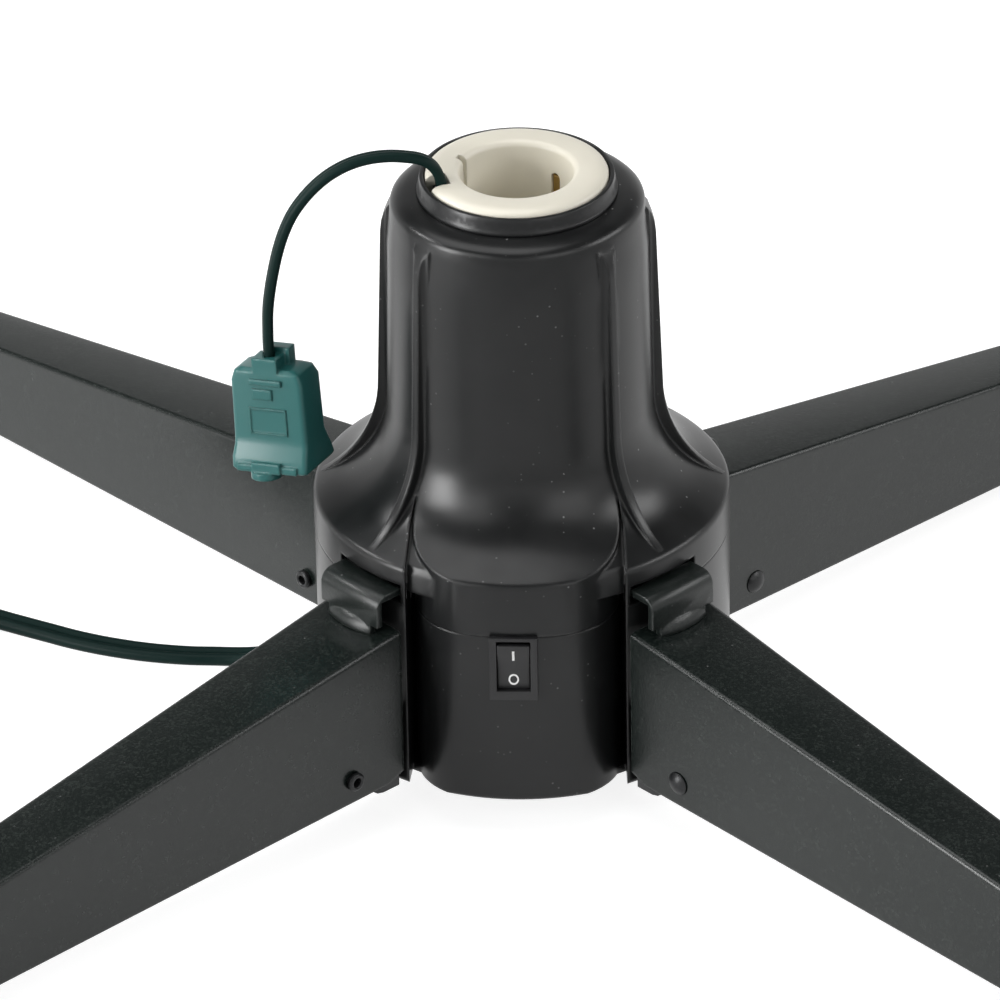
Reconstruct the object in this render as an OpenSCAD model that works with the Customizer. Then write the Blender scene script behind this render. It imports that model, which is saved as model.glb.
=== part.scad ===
// Rotating christmas tree stand: a motor hub on four fold-down sheet steel legs.
// Millimetres, +Z up. The origin is on the floor under the axis of rotation.
// Heights in the hub's own drawings start at the hub's underside, hub_lift above the floor.

/* [Pole socket] */
// Diameter of the bore that takes the tree's pole
pole_bore_d = 33.7; // [30:0.1:34]
// Outside diameter of the socket tube
socket_d = 40.6; // [40:0.1:41]
// Diameter of the white flange at the socket's mouth
flange_d = 54.2; // [53.6:0.1:54.4]

/* [Hub] */
// Clearance between the floor and the hub's underside
hub_lift = 12; // [11:0.5:16]
// Outside diameter of the hub
hub_d = 125; // [124.6:0.1:126]
// Wall thickness of the moulded housings
wall = 2.5; // [2:0.1:2.6]
// Proudness of the cooling ribs at the top of the neck
rib_proud = 2.1; // [1.8:0.1:2.6]

/* [Legs] */
// Distance from the axis to a leg's tip
leg_reach = 420; // [380:5:460]
// Thickness of the folded leg sheet
sheet = 1.5; // [1:0.1:1.8]
// Distance from the axis to a leg's pivot
pivot_r = 83; // [82:0.5:86]

/* [Drive] */
// Gear module
gear_mod = 1; // [0.98:0.01:1]
// Teeth on the wheel that turns the socket
wheel_teeth = 60; // [60:1:60]
// Teeth on the motor's pinion
pinion_teeth = 12; // [12:1:12]

/* [Cords] */
// Width of the flat mains cord
cord_w = 7.8; // [7:0.1:7.9]
// Thickness of the flat mains cord
cord_t = 3.9; // [3.4:0.1:4]
// Width of the lamp cord above the socket
lamp_w = 6.4; // [6:0.1:6.4]
// Thickness of the lamp cord above the socket
lamp_t = 3.2; // [3:0.1:3.2]
// Turns in each layer of the put-away coil
coil_turns = 3; // [2:1:3]

/* [Hidden] */
$fn = 96;

// Heights above the hub's underside
lip_z = 72;           // top of the vertical skirt
seam_z = 62.5;        // joint between the two housings, round the sides
front_seam_z = 57;    // the same joint across the switch panel
cap_z = 170.2;        // lower edge of the neck's rounded cap
collar_z = 179;       // top of the black bush
mouth_z = 180.6;      // top of the white flange
deck_z = 43;          // underside of the motor deck
deck_t = 2.5;
gear_z = 56;
gear_t = 8;
bore_floor_z = 57;

// Radii
hub_r = hub_d / 2;
cavity_r = hub_r - wall;
cap_r = 37.7;
neck_top_r = 38.8;
neck_low_r = 39.8;
bush_r = 29.4;
journal_gap = 0.06;
bush_bore_r = flange_d / 2 + journal_gap;
socket_r = socket_d / 2;
bore_r = pole_bore_d / 2;
post_r = 53;          // circle of the four screw posts

// Bell: a concave arc that starts at the neck, then a straight slope out to the lip
bell_z = 104.4;
bell_arc = 30;
bell_end = 62;        // degrees of arc, after which the slope is straight
lip_r = 2.2;          // rounding of the lip
slope_r = neck_low_r + bell_arc * (1 - cos(bell_end));
slope_z = bell_z - bell_arc * sin(bell_end);
function bell_depth(r, inset) = slope_z - (r - slope_r) / tan(bell_end) - inset / sin(bell_end);
lip_centre_z = bell_depth(hub_r - lip_r, lip_r);
rib_z = 108.2;
rib_arc = 39;
rib_end = 57;
rib_t = 2.6;
rib_fillet = 2;
rib_angles = [4, 45, 90, 135, 176, 225, 315];

// Switch tongue: the front of the hub between two notches
tongue_half = 30.5;
tongue_corner = 22;
tongue_corner_x = tongue_half - tongue_corner;
tongue_corner_y = -39.6;
notch_back_y = -33;
groove = 1.6;         // depth to which a notch carries on up the bell
notch_top = 66;       // below this height a notch has its full depth
notch_floor_r = 55;   // radius out to which a notch has a floor
notch_floor_t = 2.4;

// Legs
leg_root_r = 63.4;
leg_ref_r = 80;
leg_top_ref = 52.2;
leg_top_slope = -0.147;
leg_low_ref = 3.6;
leg_low_slope = -0.039;
leg_w_ref = 29.8;
leg_w_slope = -0.054;
leg_corner = 1.4;
pivot_z = 11;
rivet_r = 2.4;
pin_gap = 0.06;
hook_half = 12.3;
hook_foot = 57;       // underside of the hook either side of its gusset
hook_top = 67;
hook_t = 2;
hook_face_r = 70;
hook_tip_r = 60.4;

// Switch
switch_x = -0.4;
switch_z = 46.9;
rocker_z = 47.8;
rocker_h = 16.4;
bezel_w = 14.4;
bezel_h = 21.15;
bezel_y = -62.16;
rocker_axis_y = -60.4;

// Drive
wheel_r = gear_mod * wheel_teeth / 2;
pinion_r = gear_mod * pinion_teeth / 2;
mesh_gap = 0.25;
motor_y = wheel_r + pinion_r + mesh_gap;
motor_can_y = 29.5;
motor_can_r = 24.5;
motor_can_h = 20;
ball_r = 2.5;
ball_circle_r = 16;
ball_count = 10;

// Cords: hand-chosen points, from the floor up, in the object's frame
boot_az = 158;
boot_tilt = 30;
boot_start_r = 61;
boot_z = hub_lift + 8;
boot_len = 24;
cord_low = cord_t / 2 + 0.1;
boot_end = [(boot_start_r + boot_len * cos(boot_tilt)) * cos(boot_az),
            (boot_start_r + boot_len * cos(boot_tilt)) * sin(boot_az),
            boot_z - boot_len * sin(boot_tilt)];
mains_route = [boot_end, [-80.2, 32.5, 5.5], [-85, 34.2, 3.4], [-90.5, 35.4, 2.4],
    [-97, 36.1, cord_low], [-104.5, 36.3, cord_low], [-112, 37.1, cord_low], [-119.5, 38.4, cord_low],
    [-127, 40.3, cord_low], [-134.5, 42.7, cord_low], [-142, 45.7, cord_low], [-149.5, 49.3, cord_low],
    [-157, 52.9, cord_low], [-164.5, 56.6, cord_low], [-172, 60.6, cord_low], [-179.5, 64.6, cord_low],
    [-187, 68.6, cord_low + 0.2], [-194.5, 72.6, cord_low + 0.4]];
coil_pitch = cord_w + 0.5;
coil_inner = 28;
coil_outer = coil_inner + coil_pitch * coil_turns;
coil_start_angle = 62;
coil_join = mains_route[len(mains_route) - 1];
coil_centre = [coil_join[0] - cord_w * sin(coil_start_angle) - coil_outer * cos(coil_start_angle),
               coil_join[1] + cord_w * cos(coil_start_angle) - coil_outer * sin(coil_start_angle)];
coil_rest = 0.4;      // the coil lies on the tie that holds it
coil_lift = cord_t + 0.6;
coil_steps = 24;
coil_total = 2 * coil_turns + 0.5;
top_route = [[-21.7, -6.9, 183], [-21.7, -6.9, 187], [-21.9, -7, 191], [-22.9, -7.2, 194.8],
    [-24.9, -7.5, 197.9], [-28, -7.9, 199.9], [-32.7, -8.4, 200.9], [-37.3, -8.9, 201.3],
    [-42, -9.4, 201], [-46.7, -10, 200], [-51.4, -10.5, 198], [-56.2, -11, 194.8],
    [-60.9, -11.5, 190.2], [-65.2, -12, 184.3], [-68.1, -12.4, 178.2], [-70.2, -12.6, 171.6],
    [-71.7, -12.8, 165], [-72.9, -12.9, 158.3], [-73.7, -13, 151.6], [-73.9, -13, 145],
    [-73.9, -13, 139.5], [-73.7, -13.2, 134.9]];
notch_az = 197.5;
outlet_pos = [-72.4, -11.9, 140.4];
outlet_tilt = [-6.3, -6, -21];
outlet_entry = [-1.3, -1.1];   // where the cord goes in, in the outlet's own plan
outlet_entry_turn = -62;       // direction of the cord's width there
outlet_mid = -0.6;             // centre line of the body and the mouldings on its face
blade_x = 6.35;                // half the distance between a plug's two blades

// ---------------------------------------------------------------- helpers

function unit(v) = v / norm(v);
function side_of(w, t) = unit(w - (w * t) * t);
function tangent(p, i) = unit(p[min(i + 1, len(p) - 1)] - p[max(i - 1, 0)]);
function flat_ring(p, t, w, n, wide, thick) = [for (i = [0 : n - 1]) let (a = 360 * (i + 0.5) / n)
    p + wide / 2 * cos(a) / cos(180 / n) * w + thick / 2 * sin(a) / cos(180 / n) * cross(t, w)];
function level(t) = unit(cross([0, 0, 1], t));

// A flat twin cord swept along points; across gives the direction of its width at each point
module flat_cord(points, across, wide, thick, n = 8) {
    last = len(points) - 1;
    rings = [for (i = [0 : last]) flat_ring(points[i], tangent(points, i),
        side_of(across[i], tangent(points, i)), n, wide, thick)];
    verts = [for (ring = rings) for (v = ring) v];
    sides = [for (i = [0 : last - 1]) for (j = [0 : n - 1]) let (k = (j + 1) % n)
        each [[i * n + j, (i + 1) * n + j, (i + 1) * n + k], [i * n + j, (i + 1) * n + k, i * n + k]]];
    cap_a = [for (j = [1 : n - 2]) [0, j, j + 1]];
    cap_b = [for (j = [1 : n - 2]) [last * n, last * n + j + 1, last * n + j]];
    polyhedron(verts, concat(cap_a, sides, cap_b));
}

module at_hub() { translate([0, 0, hub_lift]) children(); }

module ring(r_out, r_in, z0, z1) {
    translate([0, 0, z0]) difference() {
        cylinder(r = r_out, h = z1 - z0);
        translate([0, 0, -1]) cylinder(r = r_in, h = z1 - z0 + 2);
    }
}

// Leg frame: x runs out along the leg, y across it, z up from the hub's underside
module at_leg(az) { at_hub() rotate([0, 0, az]) children(); }

function leg_top(r) = leg_top_ref + leg_top_slope * (r - leg_ref_r);
function leg_low(r) = leg_low_ref + leg_low_slope * (r - leg_ref_r);
function leg_half(r) = (leg_w_ref + leg_w_slope * (r - leg_ref_r)) / 2;

// ---------------------------------------------------------------- housings

function arc_rz(cr, cz, rad, from, to, steps) = [for (i = [0 : steps])
    let (a = from + (to - from) * i / steps) [cr - rad * cos(a), cz - rad * sin(a)]];

bell_profile = concat([[neck_top_r, 158]], arc_rz(neck_low_r + bell_arc, bell_z, bell_arc, 0, bell_end, 14),
    [for (i = [0 : 6]) let (a = bell_end * (1 - i / 6))
        [hub_r - lip_r + lip_r * cos(a), lip_centre_z + lip_r * sin(a)]]);
cap_profile = [[bush_r, 173.6], [33.4, 173.2], [35.3, 172.7], [36.6, 172], [37.4, 171.2], [cap_r, cap_z]];

// Solid of the whole hub above z = low
module hub_solid(low) {
    rotate_extrude() polygon(concat([[0, low], [0, 173.6]], cap_profile, bell_profile, [[hub_r, low]]));
}

// The same, one wall thickness inside
module hub_cavity(low) {
    rotate_extrude() polygon(concat([[0, low - 1], [0, 150], [33, 150], [35.2, 146]],
        arc_rz(neck_low_r + bell_arc, bell_z, bell_arc + wall, 0, bell_end, 14),
        [[cavity_r, bell_depth(cavity_r, wall)], [cavity_r, low - 1]]));
}

// Plan of one corner notch beside the switch tongue, grown inwards by g
module notch_plan(g) {
    difference() {
        polygon([[29 - g, notch_back_y + g], [30.2 + g, notch_back_y + g], [31.5 + g, -38],
                 [32.4 + g, -50], [33 + g, -57], [34 + g, -70],
                 [tongue_corner_x * 1.72, tongue_corner_y * 1.72], [tongue_corner_x, tongue_corner_y]]);
        translate([tongue_corner_x, tongue_corner_y]) circle(r = tongue_corner - g);
        polygon([[0, tongue_corner_y], [tongue_half - g, tongue_corner_y], [29.4 - g, notch_back_y],
                 [29.4 - g, 0], [0, 0]]);
    }
}

// Both notches; towards the lip and above it they are only a shallow groove
module notches(g, low, high) {
    difference() {
        for (side = [0, 1]) mirror([side, 0, 0])
            translate([0, 0, low]) linear_extrude(high - low) notch_plan(g);
        if (g == 0) {
            rotate_extrude() polygon(concat([[0, notch_top], [0, 120], [36, 120]],
                arc_rz(neck_low_r + bell_arc, bell_z, bell_arc + groove, 0, bell_end, 14),
                [[cavity_r - 1, bell_depth(cavity_r - 1, groove)], [cavity_r + 0.3, notch_top + 6],
                 [cavity_r + 0.3, notch_top]]));
            translate([0, 0, -2]) cylinder(r = notch_floor_r, h = notch_floor_t + 2);
        }
    }
}

// Fins round the neck, rounded into it at the foot
module ribs() {
    intersection() {
        rotate_extrude() polygon(concat([[cap_r - 3, 168.8], [cap_r, 168.8], [cap_r + 1, 167.4],
            [cap_r + 2, 165], [cap_r + 2.8, 162], [neck_top_r + rib_proud, 158.6]],
            arc_rz(neck_low_r + rib_proud + 0.7 + rib_arc, rib_z, rib_arc, 0, rib_end, 12),
            [[59.6, 74.4], [50, 74], [34, 90], [34, 160]]));
        translate([0, 0, 70]) linear_extrude(100) for (az = rib_angles) rotate(az) {
            translate([30, -rib_t / 2]) square([33, rib_t]);
            for (side = [0, 1]) mirror([0, side]) difference() {
                translate([33, 0]) square([neck_top_r - 33 + rib_fillet, rib_t / 2 + rib_fillet]);
                translate([neck_top_r - 0.1 + rib_fillet, rib_t / 2 + rib_fillet])
                    circle(r = rib_fillet, $fn = 48);
            }
        }
    }
}

// Everything below the joint: the sides up to seam_z, the tongue up to front_seam_z
module below_seam(gap) {
    difference() {
        translate([-80, -80, -1]) cube([160, 160, seam_z + 1 - gap]);
        translate([-tongue_half - 1.2, -80, front_seam_z - gap]) cube([2 * tongue_half + 2.4, 46, 20]);
    }
}

module upper_housing() color("#23262a") at_hub() {
    difference() {
        union() {
            hub_solid(0);
            ribs();
        }
        notches(0, -1, 110);
        difference() {
            hub_cavity(0);
            notches(wall, -2, 111);
            for (az = [45 : 90 : 315]) rotate([0, 0, az]) translate([post_r, 0, deck_z + deck_t])
                cylinder(r = 4, h = 36, $fn = 32);
        }
        below_seam(0);
        for (az = [45 : 90 : 315]) rotate([0, 0, az]) {
            translate([58, -hook_half - 0.8, seam_z - 8]) cube([12, 2 * hook_half + 1.6, 14.2]);
            translate([post_r, 0, deck_z]) cylinder(r = 1.5, h = 18, $fn = 32);
        }
        translate([0, 0, 140]) cylinder(r = bush_r, h = 50);
        bezel_seat();
    }
}

module top_bush() color("#1a1c1f") at_hub() difference() {
    union() {
        translate([0, 0, 151]) cylinder(r = bush_r, h = 23);
        translate([0, 0, 173.65]) cylinder(r = bush_r + 0.3, h = 1);
        translate([0, 0, 174.6]) cylinder(r1 = bush_r + 0.2, r2 = bush_r - 0.6, h = collar_z - 174.6);
    }
    translate([0, 0, 140]) cylinder(r = bush_bore_r, h = 50);
    translate([0, 0, collar_z - 1.4]) cylinder(r = bush_bore_r + 0.5, h = 5);
}

module base_housing() color("#23262a") at_hub() {
    difference() {
        union() {
            difference() {
                intersection() {
                    union() {
                        cylinder(r1 = hub_r - 1.1, r2 = hub_r - 0.5, h = 0.8);
                        translate([0, 0, 0.8]) cylinder(r1 = hub_r - 0.5, r2 = hub_r, h = lip_z - 0.8);
                    }
                    below_seam(0.15);
                }
                notches(0, -1, 90);
                difference() {
                    translate([0, 0, -1]) cylinder(r = cavity_r, h = 80);
                    notches(wall, -2, 92);
                }
            }
            // locating lip that stands up inside the upper housing
            difference() {
                ring(cavity_r - 0.25, cavity_r - 2, 50, seam_z + 3.5);
                translate([-45, -80, 49]) cube([90, 50, 30]);
            }
            ring(cavity_r + 0.5, cavity_r - 2, 50, seam_z - 4);
            for (az = [45 : 90 : 315]) rotate([0, 0, az]) {
                translate([post_r, 0, 2.7]) cylinder(r = 4, h = deck_z - 2.8, $fn = 32);
                translate([post_r + 1, -1, 2.7]) cube([cavity_r + 1 - post_r, 2, deck_z - 2.8]);
            }
        }
        for (az = [45 : 90 : 315]) rotate([0, 0, az]) {
            translate([post_r, 0, -1]) cylinder(r = 2.2, h = 60, $fn = 32);
            for (side = [-1, 1]) translate([57.4, side * 7, 15]) rotate([0, 90, 0])
                cylinder(r = 1.55, h = 8, $fn = 24);
        }
        translate([-tongue_half - 1.2, -80, front_seam_z - 0.15]) cube([2 * tongue_half + 2.4, 46, 20]);
        notches(0, -1, 90);
        // switch cut-out
        translate([switch_x - 6.6, -70, switch_z - 9.7]) cube([13.2, 20, 19.4]);
        bezel_seat();
        // way out for the mains cord
        rotate([0, 0, boot_az]) translate([boot_start_r - 14, 0, 8 + 14 * tan(boot_tilt)])
            rotate([0, 90 + boot_tilt, 0]) cylinder(r = 5, h = 30, $fn = 32);
    }
}

module bottom_cover() color("#1d1f22") at_hub() difference() {
    union() {
        difference() {
            cylinder(r = cavity_r - 0.2, h = 2.4);
            notches(wall + 0.3, -2, 10);
        }
        for (x = [-24, 24]) translate([x - 1, -30, 2.3]) cube([2, 46, 4]);
    }
    for (az = [45 : 90 : 315]) rotate([0, 0, az]) translate([post_r, 0, -1])
        cylinder(r = 2.2, h = 6, $fn = 32);
    for (i = [-3 : 3]) translate([i * 8 - 1.2, -9, -1]) cube([2.4, 18, 2.6]);
}

module housing_screws() color("#8f9397") at_hub()
    for (az = [45 : 90 : 315]) rotate([0, 0, az]) translate([post_r, 0, 0]) {
        difference() {
            translate([0, 0, -1.9]) cylinder(r1 = 3, r2 = 3.6, h = 1.85, $fn = 32);
            for (a = [0, 90]) rotate([0, 0, a]) translate([-2, -0.4, -3]) cube([4, 0.8, 2]);
        }
        translate([0, 0, -0.1]) cylinder(r = 1.98, h = deck_z + deck_t - 0.1, $fn = 32);
        translate([0, 0, deck_z + deck_t - 0.3]) cylinder(r = 1.45, h = 14, $fn = 32);
    }

// ---------------------------------------------------------------- drive

module motor_deck() color("#b9bdc0") at_hub() difference() {
    translate([0, 0, deck_z]) cylinder(r = cavity_r - 0.4, h = deck_t);
    translate([0, 0, deck_z - 1]) {
        cylinder(r = 7, h = 9);
        translate([0, motor_y, 0]) cylinder(r = 8.6, h = 9);
        for (az = [45 : 90 : 315]) rotate([0, 0, az]) translate([post_r, 0, 0])
            cylinder(r = 2.1, h = 9, $fn = 32);
        for (x = [-1, 1]) translate([x * 21, motor_can_y, 0]) cylinder(r = 1.6, h = 9, $fn = 32);
        translate([-16, -70, 0]) cube([32, 22, 9]);
    }
    notches(wall + 0.4, deck_z - 1, deck_z + 8);
}

module lower_race() color("#c4c7c9") at_hub()
    ring(21, 11, deck_z + deck_t, deck_z + deck_t + 1.4);

module bearing_balls() color("#d8dadb") at_hub() for (i = [0 : ball_count - 1])
    rotate([0, 0, 360 * i / ball_count])
        translate([ball_circle_r, 0, deck_z + deck_t + 1.4 + ball_r + 0.02]) sphere(r = ball_r, $fn = 24);

module bearing_cage() color("#d9cf9f") at_hub() difference() {
    ring(20.5, 11.5, deck_z + deck_t + 2.9, deck_z + deck_t + 4.9);
    for (i = [0 : ball_count - 1]) rotate([0, 0, 360 * i / ball_count])
        translate([ball_circle_r, 0, deck_z]) cylinder(r = ball_r + 0.12, h = 20, $fn = 32);
}

module upper_race() color("#c4c7c9") at_hub()
    ring(21, 11, deck_z + deck_t + 6.5, deck_z + deck_t + 7.9);

module motor_can() color("#c9cccd") at_hub() {
    translate([0, motor_can_y, deck_z - motor_can_h]) difference() {
        union() {
            cylinder(r = motor_can_r, h = motor_can_h - 1.2);
            intersection() {
                cylinder(r = 27.5, h = motor_can_h - 0.05);
                translate([-27.5, -5, motor_can_h - 1.25]) cube([55, 10, 1.2]);
            }
            translate([0, motor_y - motor_can_y, 1]) cylinder(r = 8, h = motor_can_h + 0.6);
        }
        for (x = [-1, 1]) translate([x * 21, 0, motor_can_h - 6]) cylinder(r = 1.5, h = 9, $fn = 32);
        translate([0, motor_y - motor_can_y, 4]) cylinder(r = 2.06, h = 30, $fn = 32);
    }
    translate([-7, 4, deck_z - motor_can_h + 3]) cube([14, 4, 9]);
}

module motor_shaft() color("#d2d4d6") at_hub() translate([0, motor_y, deck_z - motor_can_h + 4.2])
    cylinder(r = 2, h = gear_z + gear_t - deck_z + motor_can_h - 3.4, $fn = 32);

module motor_screws() color("#8f9397") at_hub() for (x = [-1, 1])
    translate([x * 21, motor_can_y, deck_z]) {
        translate([0, 0, deck_t + 0.02]) cylinder(r = 2.9, h = 1.8, $fn = 32);
        translate([0, 0, -5]) cylinder(r = 1.45, h = deck_t + 5.1, $fn = 32);
    }

// One tooth of a spur gear as a plan outline, at pitch radius pr
function tooth(pr, a) = let (m = gear_mod, root = pr - 1.25 * m, mid = pr, tip = pr + 0.95 * m)
    [for (q = [[root, -0.98], [mid, -0.66], [tip, -0.3], [tip, 0.3], [mid, 0.66], [root, 0.98]])
        let (t = a + q[1] * m / q[0] * 180 / PI) [q[0] * cos(t), q[0] * sin(t)]];

module spur(pr, teeth, h, phase) {
    linear_extrude(h) polygon([for (i = [0 : teeth - 1]) each tooth(pr, phase + 360 * i / teeth)]);
}

module drive_gear() color("#e4e1d5") at_hub() translate([0, 0, gear_z]) difference() {
    spur(wheel_r, wheel_teeth, gear_t, 0);
    translate([0, 0, -1]) cylinder(r = socket_r, h = gear_t + 2);
    for (i = [0 : 7]) rotate([0, 0, 22.5 + 45 * i]) translate([24.6, 0, -1])
        cylinder(r = 2.6, h = gear_t + 2, $fn = 32);
}

module pinion() color("#e4e1d5") at_hub() translate([0, motor_y, gear_z - 1]) difference() {
    spur(pinion_r, pinion_teeth, gear_t + 1, -90 + 180 / pinion_teeth);
    translate([0, 0, -1]) cylinder(r = 2, h = gear_t + 4, $fn = 32);
}

// ---------------------------------------------------------------- socket

module pole_socket() color("#ece7da") at_hub() difference() {
    union() {
        translate([0, 0, deck_z + deck_t + 7.9]) cylinder(r = socket_r, h = mouth_z - deck_z - deck_t - 9);
        // journal that runs in the bush
        ring(flange_d / 2, 24.9, 156, mouth_z - 3.4);
        // crowned flange
        translate([0, 0, mouth_z - 3.6]) rotate_extrude() polygon([[0, 0], [flange_d / 2, 0],
            [flange_d / 2, 1.9], [flange_d / 2 - 0.3, 2.5], [flange_d / 2 - 1.1, 3.1],
            [flange_d / 2 - 2.4, 3.5], [23.6, 3.6], [0, 3.6]]);
        for (a = [45 : 60 : 345]) rotate([0, 0, a]) translate([19, -1, 158]) cube([6.5, 2, 19]);
        // collar that the lower slip ring stands on
        ring(22.6, 19, gear_z + gear_t, gear_z + gear_t + 3);
    }
    translate([0, 0, bore_floor_z]) cylinder(r = bore_r, h = 140);
    // rounded mouth
    translate([0, 0, mouth_z]) rotate_extrude() polygon([[0, 0.1], [bore_r + 2.1, 0.1],
        for (i = [0 : 5]) [bore_r + 2 - 2 * sin(15 * i + 15), -2 + 2 * cos(15 * i + 15)],
        [0, -2]]);
    // slot in the tube for the pole spring
    rotate([0, 0, 49.5]) {
        translate([15, -1.7, 118]) cube([4.2, 3.4, 52.4]);
        translate([15, 0, 170.4]) rotate([0, 90, 0]) cylinder(r = 1.7, h = 4.2, $fn = 32);
    }
    // key groove
    rotate([0, 0, 158]) {
        translate([16, -1.2, bore_floor_z + 1]) cube([1.7, 2.4, 140]);
        translate([16, -1.2, mouth_z - 5]) cube([3.4, 2.4, 20]);
    }
    // notch for the lamp cord
    rotate([0, 0, notch_az]) translate([21, -lamp_w / 2 - 0.2, 172]) cube([10, lamp_w + 0.4, 50]);
}

module pole_spring() color("#c9a04a") at_hub() rotate([0, 0, 49.5]) {
    translate([17.4, -1.5, 119]) cube([0.9, 3, 52]);
    translate([18.3, -1.5, 119]) cube([0.85, 3, 6]);
    translate([18.3, -1.5, 165]) cube([0.85, 3, 6]);
}

module slip_ring_lower() color("#c9a04a") at_hub() ring(22.4, socket_r, 69, 74);

module slip_ring_upper() color("#c9a04a") at_hub() ring(22.4, socket_r, 78, 83);

module riser_cord() color("#0f4a35") at_hub() rotate([0, 0, notch_az])
    translate([21.17, -lamp_w / 2, 84]) cube([lamp_t, lamp_w, 87]);

module brush_holder() color("#4a3a2c") at_hub() difference() {
    union() {
        translate([-41, -6, deck_z + deck_t]) cube([8, 12, 39]);
        translate([-46, -8, deck_z + deck_t]) cube([13, 16, 2.5]);
    }
    for (z = [70.6, 79.6]) translate([-42, -3.2, z]) cube([20, 6.4, 1.8]);
    translate([-43, -1.2, 66]) cube([4, 2.4, 20]);
}

module brush_springs() color("#c98a52") at_hub() for (z = [70.75, 79.75]) {
    translate([-39, -3, z]) cube([13.6, 6, 1.5]);
    translate([-25.9, -2, z - 0.6]) cube([3.3, 4, 2.7]);
}

// ---------------------------------------------------------------- switch

module at_switch() { at_hub() translate([switch_x, 0, 0]) children(); }

// Flat seat that the switch's bezel lies on
module bezel_seat() {
    translate([switch_x - bezel_w / 2 - 0.1, bezel_y - 4, switch_z - bezel_h / 2 - 0.1])
        cube([bezel_w + 0.2, 4.02, bezel_h + 0.2]);
}

module switch_frame() color("#131416") at_switch() difference() {
    union() {
        translate([-bezel_w / 2, bezel_y - 1.9, switch_z - bezel_h / 2]) cube([bezel_w, 1.9, bezel_h]);
        translate([-6.4, bezel_y - 0.1, switch_z - 9.5]) cube([12.8, 13, 19]);
    }
    translate([-5, bezel_y - 3, rocker_z - rocker_h / 2 - 0.3]) cube([10, 9.6, rocker_h + 0.6]);
    translate([-6, rocker_axis_y, rocker_z]) rotate([0, 90, 0]) cylinder(r = 1.07, h = 12, $fn = 32);
    for (z = [-5, 4.2]) translate([-2.4, bezel_y + 8, switch_z + z]) cube([4.8, 8, 0.8]);
}

module switch_rocker() color("#17181a") at_switch() translate([0, rocker_axis_y, rocker_z])
    rotate([7, 0, 0]) {
        translate([-4.8, 0, 0]) rotate([90, 0, 90]) linear_extrude(9.6)
            polygon([[-1.6, -7.7], [-3.4, -7.9], [-3.0, -4], [-2.75, 0], [-3.0, 4], [-3.4, 7.9],
                     [-1.6, 7.7], [2.4, 2.6], [3.4, 0.6], [3.4, -0.6], [2.4, -2.6]]);
        translate([-5.9, 0, 0]) rotate([0, 90, 0]) cylinder(r = 1, h = 11.8, $fn = 32);
    }

module switch_terminals() color("#c9a04a") at_switch() for (z = [-5, 4.2])
    translate([-2.4, bezel_y + 8.1, switch_z + z]) cube([4.8, 12, 0.8]);

// ---------------------------------------------------------------- legs

// Cross-section of the leg's outside at distance r, as a thin slice; inset shrinks it
module leg_slice(r, inset, drop) {
    half = leg_half(r) - inset;
    top = leg_top(r) - inset;
    low = leg_low(r) - drop;
    corner = max(leg_corner - inset, 0.6);
    translate([r, 0, 0]) rotate([90, 0, 90]) linear_extrude(0.02) union() {
        translate([-half, low]) square([2 * half, top - low - corner]);
        for (y = [-1, 1]) translate([y * (half - corner), top - corner]) circle(r = corner, $fn = 24);
        translate([-half + corner, top - corner]) square([2 * half - 2 * corner, corner]);
    }
}

module leg() {
    difference() {
        hull() {
            leg_slice(leg_root_r, 0, 0);
            leg_slice(leg_reach, 0, 0);
        }
        hull() {
            leg_slice(leg_root_r - 2, sheet, 4);
            leg_slice(leg_reach - 1.2, sheet, 4);
        }
        translate([pivot_r, -40, pivot_z]) rotate([-90, 0, 0])
            cylinder(r = rivet_r + pin_gap, h = 80, $fn = 48);
        // relieved lower corner at the root
        translate([0, 40, 0]) rotate([90, 0, 0]) linear_extrude(80)
            polygon([[leg_root_r - 1, 0], [leg_root_r + 8, 0], [leg_root_r + 8, 3], [leg_root_r - 1, 7]]);
    }
}

// Bent sheet that hooks the leg's root under the hub's skirt
module hook() {
    foot = leg_top(hook_face_r) - 0.02;
    bend = hook_face_r - 4;
    difference() {
        union() {
            translate([0, hook_half, 0]) rotate([90, 0, 0]) linear_extrude(2 * hook_half) difference() {
                union() {
                    translate([hook_tip_r, hook_top - hook_t]) square([bend - hook_tip_r, hook_t]);
                    translate([bend, hook_top - 4]) circle(r = 4, $fn = 48);
                    translate([hook_face_r - hook_t, foot]) square([hook_t, hook_top - 4 - foot]);
                }
                translate([bend, hook_top - 4]) circle(r = 2, $fn = 48);
                translate([hook_tip_r - 1, foot - 1])
                    square([bend + 3 - hook_tip_r, hook_top - hook_t - foot + 1]);
            }
            // curved gusset at the foot
            intersection() {
                translate([hook_face_r - 24, 0, foot]) rotate_extrude() polygon([[0, 0], [25.8, 0],
                    [25.9, 0.8], [25.6, 1.9], [25, 3], [24.2, 3.9], [23.2, 4.4], [0, 4.4]]);
                translate([hook_face_r - 0.3, -10, foot]) cube([5, 20, 6]);
            }
        }
        for (y = [-1, 1]) {
            translate([hook_face_r - 6, y * (hook_half + 6.8) - 10, foot - 2])
                cube([12, 20, hook_foot - foot + 2]);
            translate([hook_tip_r - 4, y * (hook_half + 1.2), hook_top]) rotate([0, 0, 45])
                translate([-2.4, -2.4, -5]) cube([4.8, 4.8, 10]);
        }
    }
}

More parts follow.
